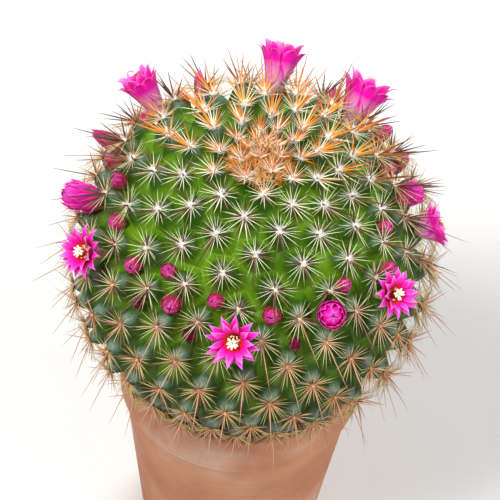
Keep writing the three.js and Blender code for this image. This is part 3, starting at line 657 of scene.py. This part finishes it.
def stamen_material():
    """Orange-red filaments below, cream anthers and stigma lobes above."""
    look = Look("stamen", 0.55, Subsurface_Weight=0.25, Subsurface_Scale=0.001)
    return look.painted(look.ramp(
        look.number("along"), (0, (0.9, 0.08, 0.03)), (0.45, (0.95, 0.25, 0.03)),
        (0.6, (0.95, 0.6, 0.12)), (0.75, (0.98, 0.82, 0.4)), (1, (1.0, 0.94, 0.72))))


def terracotta_material():
    look = Look("terracotta", 0.85)
    base = look.mix(look.span(look.noise(45, 5), 0.3, 0.7), (0.42, 0.16, 0.08), (0.55, 0.25, 0.13))
    lines = look.noise(40, 3, stretch=(0.5, 0.5, 60))
    chalk = look.times(look.span(look.noise(38, 6), 0.5, 0.72), 0.4)
    worn = look.mix(chalk, base, (0.68, 0.55, 0.45))
    look.bump(look.plus(lines, look.noise(1800, 3)), 0.3, 0.0004)
    return look.painted(look.mix(look.span(lines, 0.45, 0.7, 0.0, 0.2), worn, (0.3, 0.11, 0.06)))


def soil_material():
    look = Look("potting_soil", 0.95)
    look.bump(look.noise(2500, 3), 0.5, 0.0004)
    tone = look.plus(look.noise(900, 4), look.times(look.number("tone"), 0.6))
    return look.painted(look.ramp(tone, (0.3, (0.035, 0.022, 0.014)), (0.6, (0.1, 0.065, 0.04)),
                                  (0.85, (0.25, 0.19, 0.14)), (1, (0.48, 0.42, 0.34))))


# The skin: one cell for each tubercle, welded to its neighbours along their shared valleys

def valley_points(first, last):
    """Points along the valley between two axils: it rises a little in the middle."""
    lift = unit((first + last) / 2 - np.array([0, 0, BODY_CENTRE_Z]))
    length = np.linalg.norm(last - first)
    shares = np.arange(1, EDGE_STEPS)[:, None] / EDGE_STEPS
    raised = 4 * shares * (1 - shares) * SADDLE * min(length / 5, 1)
    return first + (last - first) * shares + lift * raised


def skin_rings(site, ring):
    """The rings of a tubercle from its valleys to its areole, their levels and its middle point."""
    if site.plain:
        return [mix(ring, site.base, step / 3) for step in (1, 2)], [0.0, 0.0], site.base, 0.0
    offset = ring - site.base
    turns = np.arctan2(offset @ site.side, offset @ site.down)
    across = np.cos(turns)[:, None] * site.down + np.sin(turns)[:, None] * site.side
    rim = site.tip + across * site.areole
    climb = ((rim - ring) @ site.axis)[:, None] * site.axis
    level = rim - ring - climb
    shares = np.arange(1, FLANK_RINGS + 1) / FLANK_RINGS
    levels = list(1 - (1 - shares ** VALLEY_ROUNDING) ** FLANK_ROUNDING)
    rings = [ring + level * share + climb * risen for share, risen in zip(shares, levels)]
    rings.append(site.tip + across * site.areole * 0.6 - site.axis * 0.12)
    return rings, levels + [1.0], site.tip - site.axis * 0.05, -np.cos(turns)


def make_skin():
    points = list(axil_points)
    valleys = {}
    outlines = []
    for site in sites:
        outline = []
        for axil, following in zip(site.axils, site.axils[1:] + site.axils[:1]):
            low, high = min(axil, following), max(axil, following)
            if (low, high) not in valleys:
                start = len(points)
                points.extend(valley_points(axil_points[low], axil_points[high]))
                valleys[low, high] = list(range(start, len(points)))
            between = valleys[low, high]
            outline += [axil] + (between if axil == low else between[::-1])
        outlines.append(outline)
    shared = np.array(points)
    start = len(shared)
    cells = [shared]
    faces = []
    rise = [np.zeros(start)]
    upper = [np.zeros(start)]
    for site, outline in zip(sites, outlines):
        columns = len(outline)
        rings, levels, middle, facing = skin_rings(site, shared[outline])
        cells.append(np.concatenate(rings + [middle[None]]))
        rise += [np.full(columns, level) for level in levels] + [levels[-1:]]
        upper += [np.broadcast_to(facing, (columns,))] * len(levels) + [np.zeros(1)]
        last = start + (len(rings) - 1) * columns
        for column in range(columns):
            following = (column + 1) % columns
            faces.append((outline[column], outline[following], start + following, start + column))
            faces.append((last + column, last + following, last + columns))
        faces += grid_faces(len(rings), columns, closed=True, start=start)
        start += len(cells[-1])
    everything = np.concatenate(cells)
    shape = Shape()
    shape.add(everything, faces, rise=np.concatenate(rise), upper=np.concatenate(upper),
              age=age_at(everything))
    return shape.piece("stem_skin", skin_material(), "plant", replaces=["stem"])


# Spines: radials round each areole, and stouter centrals from its middle, clear of pot and blooms

RADIAL_COUNT = 22
RADIAL_LENGTH = 7.2
CENTRAL_LENGTH = 8.2
LONG_CENTRAL_LENGTH = 15
YOUNG_LENGTH = 5.6
BACK_RADIALS = 14
BACK_LONGER = 0.25
LOW_RADIALS = 5
BACK_CENTRALS = (-30, -11, 14, 33)
DARKEST_AGE = 0.3
UPPER_FRONT = compass(0, cos(radians(48.6)), sin(radians(48.6)))
UPPER_FRONT_SHARE = 0.66
SPINE_OFF_POT = 0.6
SPINE_OFF_SOIL = 1.6
SPINE_OFF_BLOOM = 0.25
BLOOM_REACH = 24

# Of each kind of needle: its radius and how uneven that is, how far out and how deep it starts,
# what that takes off its length, its droop and its stray bend
RADIAL_FIT = (0.135, 0.15, 0.35, 0.12, 0.35, 0.35, 0.1)
CENTRAL_FIT = (0.23, 0.1, 0.2, 0.2, 0.4, 0.4, 0.12)

# The ways in which a needle may bend out of the way: turn and lift in degrees, and its length
BENDS = [(0, 0, 1), (9, 3, 1), (-9, 3, 1), (0, 12, 1), (16, 8, 1), (-16, 8, 1), (0, 24, 0.95),
         (18, 22, 0.9), (-18, 22, 0.9), (0, 38, 0.85), (0, 50, 0.75), (20, 44, 0.7), (-20, 44, 0.7)]


def heading_of(site, turn, lift):
    return (site.down * cos(turn) * cos(lift) + site.side * sin(turn) * cos(lift)
            + site.axis * sin(lift))


def is_clear(points, near_blooms):
    """Whether all the points are clear of the pot, the soil and the blooms near them."""
    across = np.hypot(points[:, 0], points[:, 1])
    beside = across > POT_COLLAR_RADIUS + SPINE_OFF_POT
    above = points[:, 2] > POT_HEIGHT + SPINE_OFF_POT
    inside = (across < POT_MOUTH_RADIUS - SPINE_OFF_SOIL) & (points[:, 2] > SOIL_TOP + SPINE_OFF_SOIL)
    if not np.all(beside | above | inside):
        return False
    for bloom in near_blooms:
        offset = points - bloom.root
        along = offset @ bloom.heading
        away = np.sqrt(np.maximum((offset ** 2).sum(axis=1) - along ** 2, 0))
        if np.any(away < np.interp(along, bloom.levels, bloom.reach, left=0, right=0) + SPINE_OFF_BLOOM):
            return False
    return True


def clear_needle(site, near_blooms, turn, lift, length):
    """The first heading and length that are clear of all else, or None."""
    shares = np.linspace(0.15, 1, 8)[:, None]
    for more_turn, more_lift, share in BENDS:
        lifted = min(lift + radians(more_lift), radians(86))
        heading = heading_of(site, turn + radians(more_turn), lifted)
        if is_clear(site.tip + heading * (length * share) * shares, near_blooms):
            return heading, length * share
    return None


def radial_wishes(site):
    """Turn, lift, length and stoutness of each radial; they crowd low down and behind."""
    extra = max(BACK_RADIALS * site.behind * smooth(28, 40, site.arc),
                LOW_RADIALS * smooth(52, 66, site.arc))
    count = RADIAL_COUNT - 5 + int(5 * smooth(0, 20, site.arc) + 2 * rng.random() + extra)
    new = 1 - smooth(14, 30, site.arc)
    for step in range(count):
        turn = 2 * pi * (step + 0.7 * (rng.random() - 0.5)) / count
        lift = radians(mix(rng.uniform(6, 27), 50, site.youth))
        grown = RADIAL_LENGTH * rng.uniform(0.78, 1.06) * (1 + 0.14 * cos(turn))
        length = mix(grown, YOUNG_LENGTH * mix(0.55, 1, smooth(0, 9, site.arc)), site.youth)
        downward = max(cos(turn), 0)
        longer = 1 + 0.35 * new * downward + BACK_LONGER * site.behind * smooth(30, 42, site.arc)
        yield turn, lift, length * longer, 1 + new * downward * rng.uniform(0.2, 1.4)


def central_wishes(site):
    """Turn, lift, length and stoutness of each central; those behind the crown are the stoutest."""
    count = 4 if site.axis @ UPPER_FRONT > UPPER_FRONT_SHARE else 3
    grown_up = smooth(7, 15, site.arc)
    stoutness = mix(0.85, 1.3, max(site.behind, smooth(12, 26, site.arc)) * (1 - smooth(44, 60, site.arc)))
    for step in range(count):
        long = step == 0
        turn = 2 * pi * step / count + radians(mix(-12, 12, draw(site.index, step)))
        lift = radians(mix(30 if long else 44, 46 if long else 60, draw(site.index, step + 10)))
        usual = LONG_CENTRAL_LENGTH if long else CENTRAL_LENGTH
        grown = usual * mix(0.82, 1.12, draw(site.index, step + 20))
        young = YOUNG_LENGTH * mix(1.3, 2.1 if long else 1.3, site.behind)
        length = mix(grown, young, smooth(0.25, 1, site.youth)) * mix(0.55, 1, grown_up)
        yield turn, mix(lift, radians(mix(76, 62, site.behind)), site.youth), length, stoutness
    if site.polar < radians(62) and site.behind > 0.3:
        for aside in BACK_CENTRALS:
            turn = radians(aside + rng.uniform(-6, 6))
            length = YOUNG_LENGTH * rng.uniform(1.5, 2.3) * mix(0.55, 1, grown_up)
            yield turn, radians(rng.uniform(34, 56)), length, stoutness


def grow(rows, site, wishes, age, fit):
    """Adds a row for each needle that finds room."""
    thickness, uneven, out, depth, less, droop, stray = fit
    near = [bloom for bloom in blooms if np.linalg.norm(bloom.root - site.tip) < BLOOM_REACH]
    for turn, lift, wanted, stoutness in wishes:
        found = clear_needle(site, near, turn, lift, wanted)
        if found:
            heading, length = found
            root = site.tip + heading * out - site.axis * depth
            bend = site.axis * rng.uniform(-droop, 0.2) + rng.normal(0, stray, 3)
            radius = thickness * rng.uniform(1 - uneven, 1 + uneven) * stoutness
            rows.append((root, heading, length - less, radius, bend, age, rng.random()))


def make_spines():
    radials, centrals = [], []
    for site in tubercles:
        age = site.polar / pi
        limb = site.behind * smooth(26, 40, site.arc)
        grow(radials, site, radial_wishes(site), mix(age, 0.5, limb), RADIAL_FIT)
        shown = mix(max(age, DARKEST_AGE), age, max(site.behind, 1 - smooth(10, 23, site.arc)))
        grow(centrals, site, central_wishes(site), shown, CENTRAL_FIT)
    for name, rows, sides, steps, material in (
            ("radial_spines", radials, 4, 3, radial_material()),
            ("central_spines", centrals, 6, 5, central_material())):
        shape = Shape()
        needles(shape, rows, sides, steps, "age", "tone")
        shape.piece(name, material, "plant")


# Wool on the areoles: a lumpy pad and short curly hairs

WOOL_HAIRS = (24, 90)


def make_wool():
    shape = Shape()
    hairs = []
    for site in tubercles:
        age = site.polar / pi
        fresh = 1 - smooth(0.2, 0.4, age)
        size = mix(0.65, 1.35, fresh) * mix(0.8, 1, smooth(0, 12, site.arc))
        axes = [site.down * size * 0.85, site.side * size * 0.8, site.axis * size * 0.6]
        blob(shape, site.tip + site.axis * size * 0.25, axes, 0.4, age=age, along=0.5)
        for _ in range(int(mix(*WOOL_HAIRS, fresh))):
            heading = heading_of(site, rng.uniform(0, 2 * pi), radians(rng.uniform(0, 80)))
            root = site.tip + heading * size * 0.5 + site.axis * size * 0.2
            length = size * rng.uniform(0.5, 1.3)
            bend = rng.normal(0, 0.25, 3) * size
            hairs.append((root, heading, length, mix(0.055, 0.085, fresh), bend, age))
    needles(shape, hairs, 3, 2, "age")
    shape.piece("areole_wool", wool_material(), "plant")


# The crown: tufts of young bristles crowd over the newest areoles, with cream wool between them

CROWN_TUFTS = 90
CROWN_BRISTLES = 17
CROWN_HAIRS = 9
CROWN_REACH = 6.2
CROWN_WIDER = 1.35
CROWN_CENTRE = 6.4
GOLDEN_TURN = radians(137.508)


def make_crown():
    """The tufts lie a little to the front of the pole, where the newest tubercles open."""
    young, wool = Shape(), Shape()
    bristles, hairs = [], []
    for tuft in range(CROWN_TUFTS):
        share = sqrt((tuft + 0.5) / CROWN_TUFTS)
        forward = CROWN_CENTRE + CROWN_REACH * share * cos(GOLDEN_TURN * tuft)
        across = CROWN_WIDER * CROWN_REACH * share * sin(GOLDEN_TURN * tuft)
        turn = atan2(across, forward)
        polar = hypot(across, forward) / BODY_RADIUS
        front = smooth(0.5, 1, (forward - CROWN_CENTRE) / CROWN_REACH)
        root = on_body(turn, polar, -1.3)
        out = outward(turn, polar)
        lean = unit(out + compass(turn, 0.3 * share, 0))
        lean = unit(lean + rng.normal(0, 0.3, 3))
        tone = rng.uniform(-0.1, 0.75) + 0.4 * front
        for _ in range(CROWN_BRISTLES):
            heading = unit(lean + rng.normal(0, 0.24, 3))
            bristles.append((root + rng.normal(0, 0.3, 3), heading, rng.uniform(2.4, 4.6),
                             rng.uniform(0.1, 0.17), rng.normal(0, 0.25, 3), tone + rng.uniform(-0.2, 0.2)))
        size = rng.uniform(0.35, 0.6)
        blob(wool, root + out * 0.4, np.eye(3) * size, 0.6, age=0.02, along=0.0)
        for _ in range(CROWN_HAIRS):
            heading = unit(out + rng.normal(0, 0.6, 3))
            hairs.append((root + out * 0.5 + heading * size * 0.5, heading, rng.uniform(0.6, 1.4), 0.06,
                          rng.normal(0, 0.3, 3)))
    needles(young, bristles, 4, 3, "tone")
    young.piece("crown_spines", crown_material(), "plant")
    needles(wool, hairs, 3, 2, age=0.02)
    wool.piece("crown_wool", wool_material(), "plant")


# Blooms

class Bloom:
    """Where a bloom stands: its root, its heading and its height, as its solid has them."""

    def __init__(self, row):
        self.name, (azimuth, polar), (tip_azimuth, tip_polar, rise), self.form, self.radius = row
        wanted = on_body(radians(azimuth), radians(polar), -TUBERCLE_MOST)
        open_axils = [point for point, trio in zip(axil_points, axils) if not any(s.plain for s in trio)]
        axil = min(open_axils, key=lambda point: np.linalg.norm(point - wanted))
        self.tip = on_body(radians(tip_azimuth), radians(tip_polar), rise)
        self.heading = unit(self.tip - axil)
        self.node = self.name + ("_petals" if self.form in ("open", "trumpet", "half") else "")
        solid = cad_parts[self.node].data
        corners = np.array([vert.co for vert in solid.vertices]) / MM
        self.height = -((corners - self.tip) @ self.heading).min()
        self.root = self.tip - self.heading * self.height
        side = unit(np.cross([0, 0, 1], self.heading))
        self.turned = np.array([side, np.cross(self.heading, side), self.heading])
        self.levels, self.reach = self.envelope(corners, [edge.vertices[:] for edge in solid.edges])

    def envelope(self, corners, edges):
        """How far the solid reaches from its axis, at each half millimetre of its height."""
        ends = corners[np.array(edges)]
        points = np.concatenate([mix(ends[:, 0], ends[:, 1], share) for share in (0, 0.25, 0.5, 0.75)])
        offset = points - self.root
        along = offset @ self.heading
        across = np.linalg.norm(offset - along[:, None] * self.heading, axis=1)
        levels = np.arange(-1, self.height + 3, 0.5)
        return levels, np.array([across[np.abs(along - level) < 1].max(initial=0) for level in levels])

    def place(self, points):
        return self.root + np.asarray(points) @ self.turned


def bezier(points, shares):
    first, second, third, fourth = np.array(points)
    rest = 1 - shares
    return (first * rest ** 3 + 3 * second * rest ** 2 * shares + 3 * third * rest * shares ** 2
            + fourth * shares ** 3)


def petal(shape, bloom, curve, half_width, narrows, turn, wrap, tuck, ruffle):
    """A thin closed petal along a curve of radius and height."""
    shares = np.linspace(0, 1, PETAL_STEPS)[:, None]
    reach, rise = (bezier(curve, shares) * (bloom.radius, bloom.height)).T[..., None]
    width = half_width * (0.45 + 0.55 * smooth(0, 0.45, shares)) * (1 - smooth(narrows, 1.03, shares) ** 1.2)
    across = np.linspace(-1, 1, PETAL_COLUMNS + 1)
    offset = width * across
    radius = np.maximum(reach, 0.15) + tuck * across * smooth(0, 0.3, shares)
    angle = np.clip(offset / radius, -1.2, 1.2)
    bent = np.stack([radius * np.cos(angle), radius * np.sin(angle)], axis=-1)
    flat = np.stack([radius, offset], axis=-1)
    channel = PETAL_CHANNEL * half_width * across ** 2 * smooth(0.1, 0.5, shares) * (1 - wrap)
    height = rise + channel + ruffle * np.sin(across * 2.5 + turn * 3) * shares
    spin = np.array([[cos(turn), sin(turn)], [-sin(turn), cos(turn)]])
    grid = np.concatenate([mix(flat, bent, wrap) @ spin, height[..., None]], axis=-1)
    along_step = np.gradient(grid, axis=0)
    across_step = np.gradient(grid, axis=1)
    across_step[-1] = across_step[-2]
    normal = unit(np.cross(across_step, along_step) + 1e-9)
    thick = PETAL_THICKNESS / 2 * np.minimum(1, 4 * (1.02 - shares))[..., None]
    rows, columns = PETAL_STEPS, PETAL_COLUMNS + 1
    size = rows * columns
    faces = grid_faces(rows, columns) + grid_faces(rows, columns, start=size, flip=True)
    numbers = np.arange(size).reshape(rows, columns)
    rim = [*numbers[0], *numbers[1:, -1], *numbers[-1, -2::-1], *numbers[-2:0:-1, 0]]
    for one, other in zip(rim, rim[1:] + rim[:1]):
        faces.append((other, one, one + size, other + size))
    points = np.concatenate([(grid - normal * thick).reshape(-1, 3), (grid + normal * thick).reshape(-1, 3)])
    along = np.tile(np.repeat(shares * min(curve[-1][1], 1), columns), 2)
    shape.add(bloom.place(points), faces, along=along, across=np.tile(np.abs(across), rows * 2),
              inner=np.repeat([1.0, 0.0], size))


def tube(shape, bloom, outline, columns, **values):
    """A turned form round the bloom's axis, coloured like the lowest third of a petal."""
    points, faces = turned_form(outline, columns)
    levels = np.append(np.repeat(np.linspace(0, 0.35, len(outline) - 2), columns), [0, 0.35])
    shape.add(bloom.place(points), faces, along=levels, **values)


def make_bloom(bloom, material, slot):
    shape = Shape()
    layers = FLOWER_LAYERS[bloom.form]
    base = layers[1][5][0]
    foot = bloom.height * base[1]
    wide = bloom.radius * base[0]
    tube(shape, bloom, [(0, 0), (0.8, 0.05), (1.0, foot * 0.3), (mix(1.0, wide, 0.6), foot * 0.65),
                        (wide + 0.05, foot), (wide + 0.1, foot + 0.8), (wide - 0.25, foot + 0.8),
                        (wide * 0.6, foot + 0.1), (0, foot)], 16, across=0.0, inner=0.0)
    limp = bloom.form == "withered"
    for count, half_width, narrows, first, wrap, curve in layers:
        tuck = 0.12 + 0.1 * wrap if bloom.form in ("open", "trumpet", "withered") else 0.05
        for step in range(count):
            turn = 2 * pi * (step + first + rng.uniform(-0.12, 0.12)) / count
            drift = rng.uniform(-0.05, 0.05, (4, 2)) * ((0, 0), (0.3, 0.2), (0.6, 0.4), (1.0, 0.7))
            bent = np.array(curve) + drift * (4 if limp else 1)
            petal(shape, bloom, bent, half_width * rng.uniform(0.88, 1.12), narrows, turn, wrap, tuck,
                  0.25 if limp else 0.06)
    shape.piece(bloom.name + "_bloom", material, slot, replaces=[bloom.node])


def make_stamens(bloom, material):
    """A ring of stamens round a style with thick stigma lobes."""
    shape = Shape()
    foot = bloom.height * FLOWER_LAYERS[bloom.form][2][5][0][1] + 0.5
    crest = bloom.height + 0.1
    rows = []
    for _ in range(STAMEN_COUNT):
        turn = rng.uniform(0, 2 * pi)
        start = ring_point(rng.uniform(0.4, 0.9), turn, foot)
        length = (crest - foot) * rng.uniform(0.5, 0.72)
        lean = unit(ring_point(0.3, turn, 1.0))
        rows.append((bloom.place(start), lean @ bloom.turned, length + 0.3, 0.1, np.zeros(3)))
        blob(shape, bloom.place(start + lean * length), bloom.turned * 0.24, 0.2, along=0.74)
    needles(shape, rows, 4, 2)
    tube(shape, bloom, [(0, foot), (0.3, foot), (0.26, crest - 0.9), (0.3, crest - 0.6),
                        (0, crest - 0.5)], 8)
    for turn in around(STIGMA_LOBES):
        lobe = unit(ring_point(1, turn + rng.uniform(-0.2, 0.2), rng.uniform(0.3, 0.9)))
        side = unit(np.cross(lobe, [0, 0, 1]))
        axes = np.array([lobe * 0.98, side * 0.36, np.cross(lobe, side) * 0.36]) @ bloom.turned
        blob(shape, bloom.place((0, 0, crest - 0.6) + lobe * 1.12), axes, 0.12, along=0.98)
    shape.piece(bloom.name + "_centre", material, "stamens", replaces=[bloom.name + "_stamens"])


MAGENTA = (0.86, 0.002, 0.4)
PALE_PINK = (0.9, 0.2, 0.7)
PALEST_PINK = (0.93, 0.45, 0.84)
THROAT_RED = (0.8, 0.008, 0.03)


def make_blooms():
    open_petals = petal_material(
        "open_petal",
        [(0, (0.85, 0.16, 0.01)), (0.26, (0.85, 0.07, 0.01)), (0.38, THROAT_RED), (0.48, MAGENTA),
         (0.7, (0.88, 0.02, 0.5)), (0.88, PALE_PINK), (1, PALEST_PINK)],
        [(0, (0.4, 0.4, 0.12)), (0.3, (0.8, 0.2, 0.35)), (0.5, MAGENTA), (0.8, PALE_PINK),
         (1, PALEST_PINK)], 0.5)
    trumpet_petals = petal_material(
        "trumpet_petal",
        [(0, THROAT_RED), (0.3, MAGENTA), (0.65, MAGENTA), (0.85, PALE_PINK), (1, PALEST_PINK)],
        [(0, (0.7, 0.5, 0.25)), (0.15, (0.92, 0.42, 0.55)), (0.35, (0.9, 0.22, 0.56)), (0.5, MAGENTA),
         (0.75, MAGENTA), (0.9, PALE_PINK), (1, PALEST_PINK)], 0.5)
    bud_scales = petal_material(
        "bud_scale",
        [(0, (0.3, 0.06, 0.05)), (0.6, (0.45, 0.004, 0.08)), (1, (0.7, 0.008, 0.24))],
        [(0, (0.24, 0.18, 0.06)), (0.35, (0.36, 0.12, 0.07)), (0.62, (0.38, 0.02, 0.06)),
         (0.84, (0.55, 0.01, 0.15)), (1, (0.88, 0.03, 0.4))], 0.25, roughness=0.3)
    half_petals = petal_material(
        "half_open_petal",
        [(0, THROAT_RED), (0.3, MAGENTA), (0.8, MAGENTA), (1, (0.9, 0.06, 0.6))],
        [(0, (0.5, 0.3, 0.12)), (0.15, (0.7, 0.1, 0.2)), (0.35, (0.75, 0.02, 0.26)), (0.6, MAGENTA),
         (0.85, MAGENTA), (1, (0.9, 0.08, 0.6))], 0.35)
    dry = petal_material(
        "withered_petal",
        [(0, (0.25, 0.1, 0.05)), (0.5, (0.2, 0.015, 0.06)), (1, (0.35, 0.02, 0.12))],
        [(0, (0.3, 0.16, 0.08)), (0.5, (0.16, 0.012, 0.05)), (1, (0.3, 0.02, 0.1))], 0.0)
    stamens = stamen_material()
    looks = {"open": (open_petals, "petals"), "trumpet": (trumpet_petals, "petals"),
             "half": (half_petals, "petals"), "closed": (bud_scales, "buds"),
             "bud": (bud_scales, "buds"), "withered": (dry, "withered")}
    for bloom in blooms:
        make_bloom(bloom, *looks[bloom.form])
        if bloom.form in ("open", "trumpet"):
            make_stamens(bloom, stamens)


# The pot, its soil and grit

def rounded(corners, radius, steps=3):
    """Softens the corners of an outline, apart from its two ends."""
    corners = [np.array(corner, float) for corner in corners]
    softened = [corners[0]]
    for before, corner, after in zip(corners, corners[1:], corners[2:]):
        reach = min(radius, np.linalg.norm(before - corner) / 2, np.linalg.norm(after - corner) / 2)
        enter = corner + unit(before - corner) * reach
        leave = corner + unit(after - corner) * reach
        for share in np.linspace(0, 1, steps + 1):
            softened.append(enter * (1 - share) ** 2 + 2 * corner * share * (1 - share) + leave * share ** 2)
    return softened + [corners[-1]]


def make_pot():
    collar_z = POT_HEIGHT - POT_COLLAR_HEIGHT
    outline = rounded([
        (0, 0), (POT_FOOT_RADIUS, 0), (POT_WALL_TOP_RADIUS, collar_z - 1), (POT_COLLAR_RADIUS - 1, collar_z),
        (POT_COLLAR_RADIUS, POT_HEIGHT), (POT_MOUTH_RADIUS, POT_HEIGHT), (POT_FLOOR_RADIUS, POT_FLOOR),
        (0, POT_FLOOR)], POT_EDGE)
    shape = Shape()
    shape.add(*turned_form(outline, POT_SIDES))
    pot = shape.piece("clay_pot", terracotta_material(), "terracotta", replaces=["pot"])
    cutters = []
    for turn in around(DRAIN_COUNT) + pi / DRAIN_COUNT:
        place = Vector(ring_point(DRAIN_CIRCLE, turn, 0) * MM)
        bpy.ops.mesh.primitive_cylinder_add(vertices=32, radius=DRAIN_RADIUS * MM,
                                            depth=POT_FLOOR * 3 * MM, location=place)
        cutters.append(bpy.context.object)
        cut = pot.modifiers.new("drain", "BOOLEAN")
        cut.operation = "DIFFERENCE"
        cut.solver = "EXACT"
        cut.object = bpy.context.object
    bpy.context.view_layer.update()
    evaluated = pot.evaluated_get(bpy.context.evaluated_depsgraph_get())
    finished = bpy.data.meshes.new_from_object(evaluated)
    pot.modifiers.clear()
    pot.data = finished
    for cutter in cutters:
        bpy.data.objects.remove(cutter)


def make_soil():
    edge = mix(POT_FLOOR_RADIUS, POT_MOUTH_RADIUS, (SOIL_TOP - POT_FLOOR) / (POT_HEIGHT - POT_FLOOR)) - 0.15
    turns = around(SOIL_SIDES)
    radii = np.linspace(edge, SOIL_HOLE, 10)
    points = []
    for radius in radii:
        grit = rng.normal(0, 0.2, SOIL_SIDES) + 0.3 * (1 - abs(radius - 25) / 6)
        if radius in (edge, SOIL_HOLE):
            grit = grit * 0.3 - 0.4
        points += [ring_point(radius, turn, SOIL_TOP + rise) for turn, rise in zip(turns, grit)]
    hole = [(16.6, 54), (12.9, 45), (8.8, 38), (0.3, 35.2)]
    below = [(0.3, POT_FLOOR + 0.3), (POT_FLOOR_RADIUS - 0.3, POT_FLOOR + 0.3)]
    points += [ring_point(radius, turn, z) for radius, z in hole + below for turn in turns]
    rows = len(radii) + len(hole) + len(below)
    faces = grid_faces(rows, SOIL_SIDES, closed=True)
    last = (rows - 1) * SOIL_SIDES
    for step in range(SOIL_SIDES):
        following = (step + 1) % SOIL_SIDES
        faces.append((last + step, last + following, following, step))
    shape = Shape()
    shape.add(points, faces, tone=0.2)
    shape.piece("potting_mix", soil_material(), "soil", replaces=["soil"])
    grit = Shape()
    for _ in range(SOIL_GRAINS):
        radius = sqrt(rng.uniform((SOIL_HOLE + 1) ** 2, (edge - 1.2) ** 2))
        turn = rng.uniform(0, 2 * pi)
        size = rng.uniform(0.5, 1.25)
        shapes = rng.uniform(0.6, 1.1, 3) * size
        spun = np.linalg.qr(rng.normal(size=(3, 3)))[0] * shapes[:, None]
        centre = ring_point(radius, turn, SOIL_TOP + 0.3 + size * 0.2)
        blob(grit, centre, spun, 0.45, tone=rng.random())
    grit.piece("soil_grit", soil_material(), "soil", is_smooth=False)


# Floor and light: each light's place and size in metres, and its power in watts

FLOOR_SIZE = 8
SKY = (0.93, 0.96, 1.0, 1)
SKY_STRENGTH = 0.3
LIGHTS = [
    ("key", (-0.5, -0.45, 1.2), 0.45, 17),
    ("fill", (0.8, -0.5, 0.8), 0.7, 6.5),
    ("back", (0.25, 0.9, 1.0), 0.6, 11),
]


def make_stage():
    bpy.ops.mesh.primitive_plane_add(size=FLOOR_SIZE)
    floor = bpy.context.object
    floor.name = "floor"
    look = Look("floor_paint", 0.8)
    paint = look.mix(look.span(look.noise(3, 3), 0.3, 0.7), (0.66, 0.65, 0.63), (0.72, 0.71, 0.69))
    floor.data.materials.append(look.painted(paint))
    world = bpy.data.worlds.new("studio")
    world.use_nodes = True
    sky = world.node_tree.nodes["Background"]
    sky.inputs["Color"].default_value = SKY
    sky.inputs["Strength"].default_value = SKY_STRENGTH
    bpy.context.scene.world = world
    for name, place, size, power in LIGHTS:
        data = bpy.data.lights.new(name, "AREA")
        data.size = size
        data.energy = power
        light = bpy.data.objects.new(name, data)
        light.location = place
        direction = BALL_CENTRE - Vector(place)
        light.rotation_euler = direction.to_track_quat("-Z", "Y").to_euler()
        bpy.context.scene.collection.objects.link(light)


blooms = [Bloom(row) for row in BLOOMS]
make_skin()
make_spines()
make_wool()
make_crown()
make_blooms()
make_pot()
make_soil()
make_stage()
bpy.context.scene.view_settings.view_transform = "Standard"
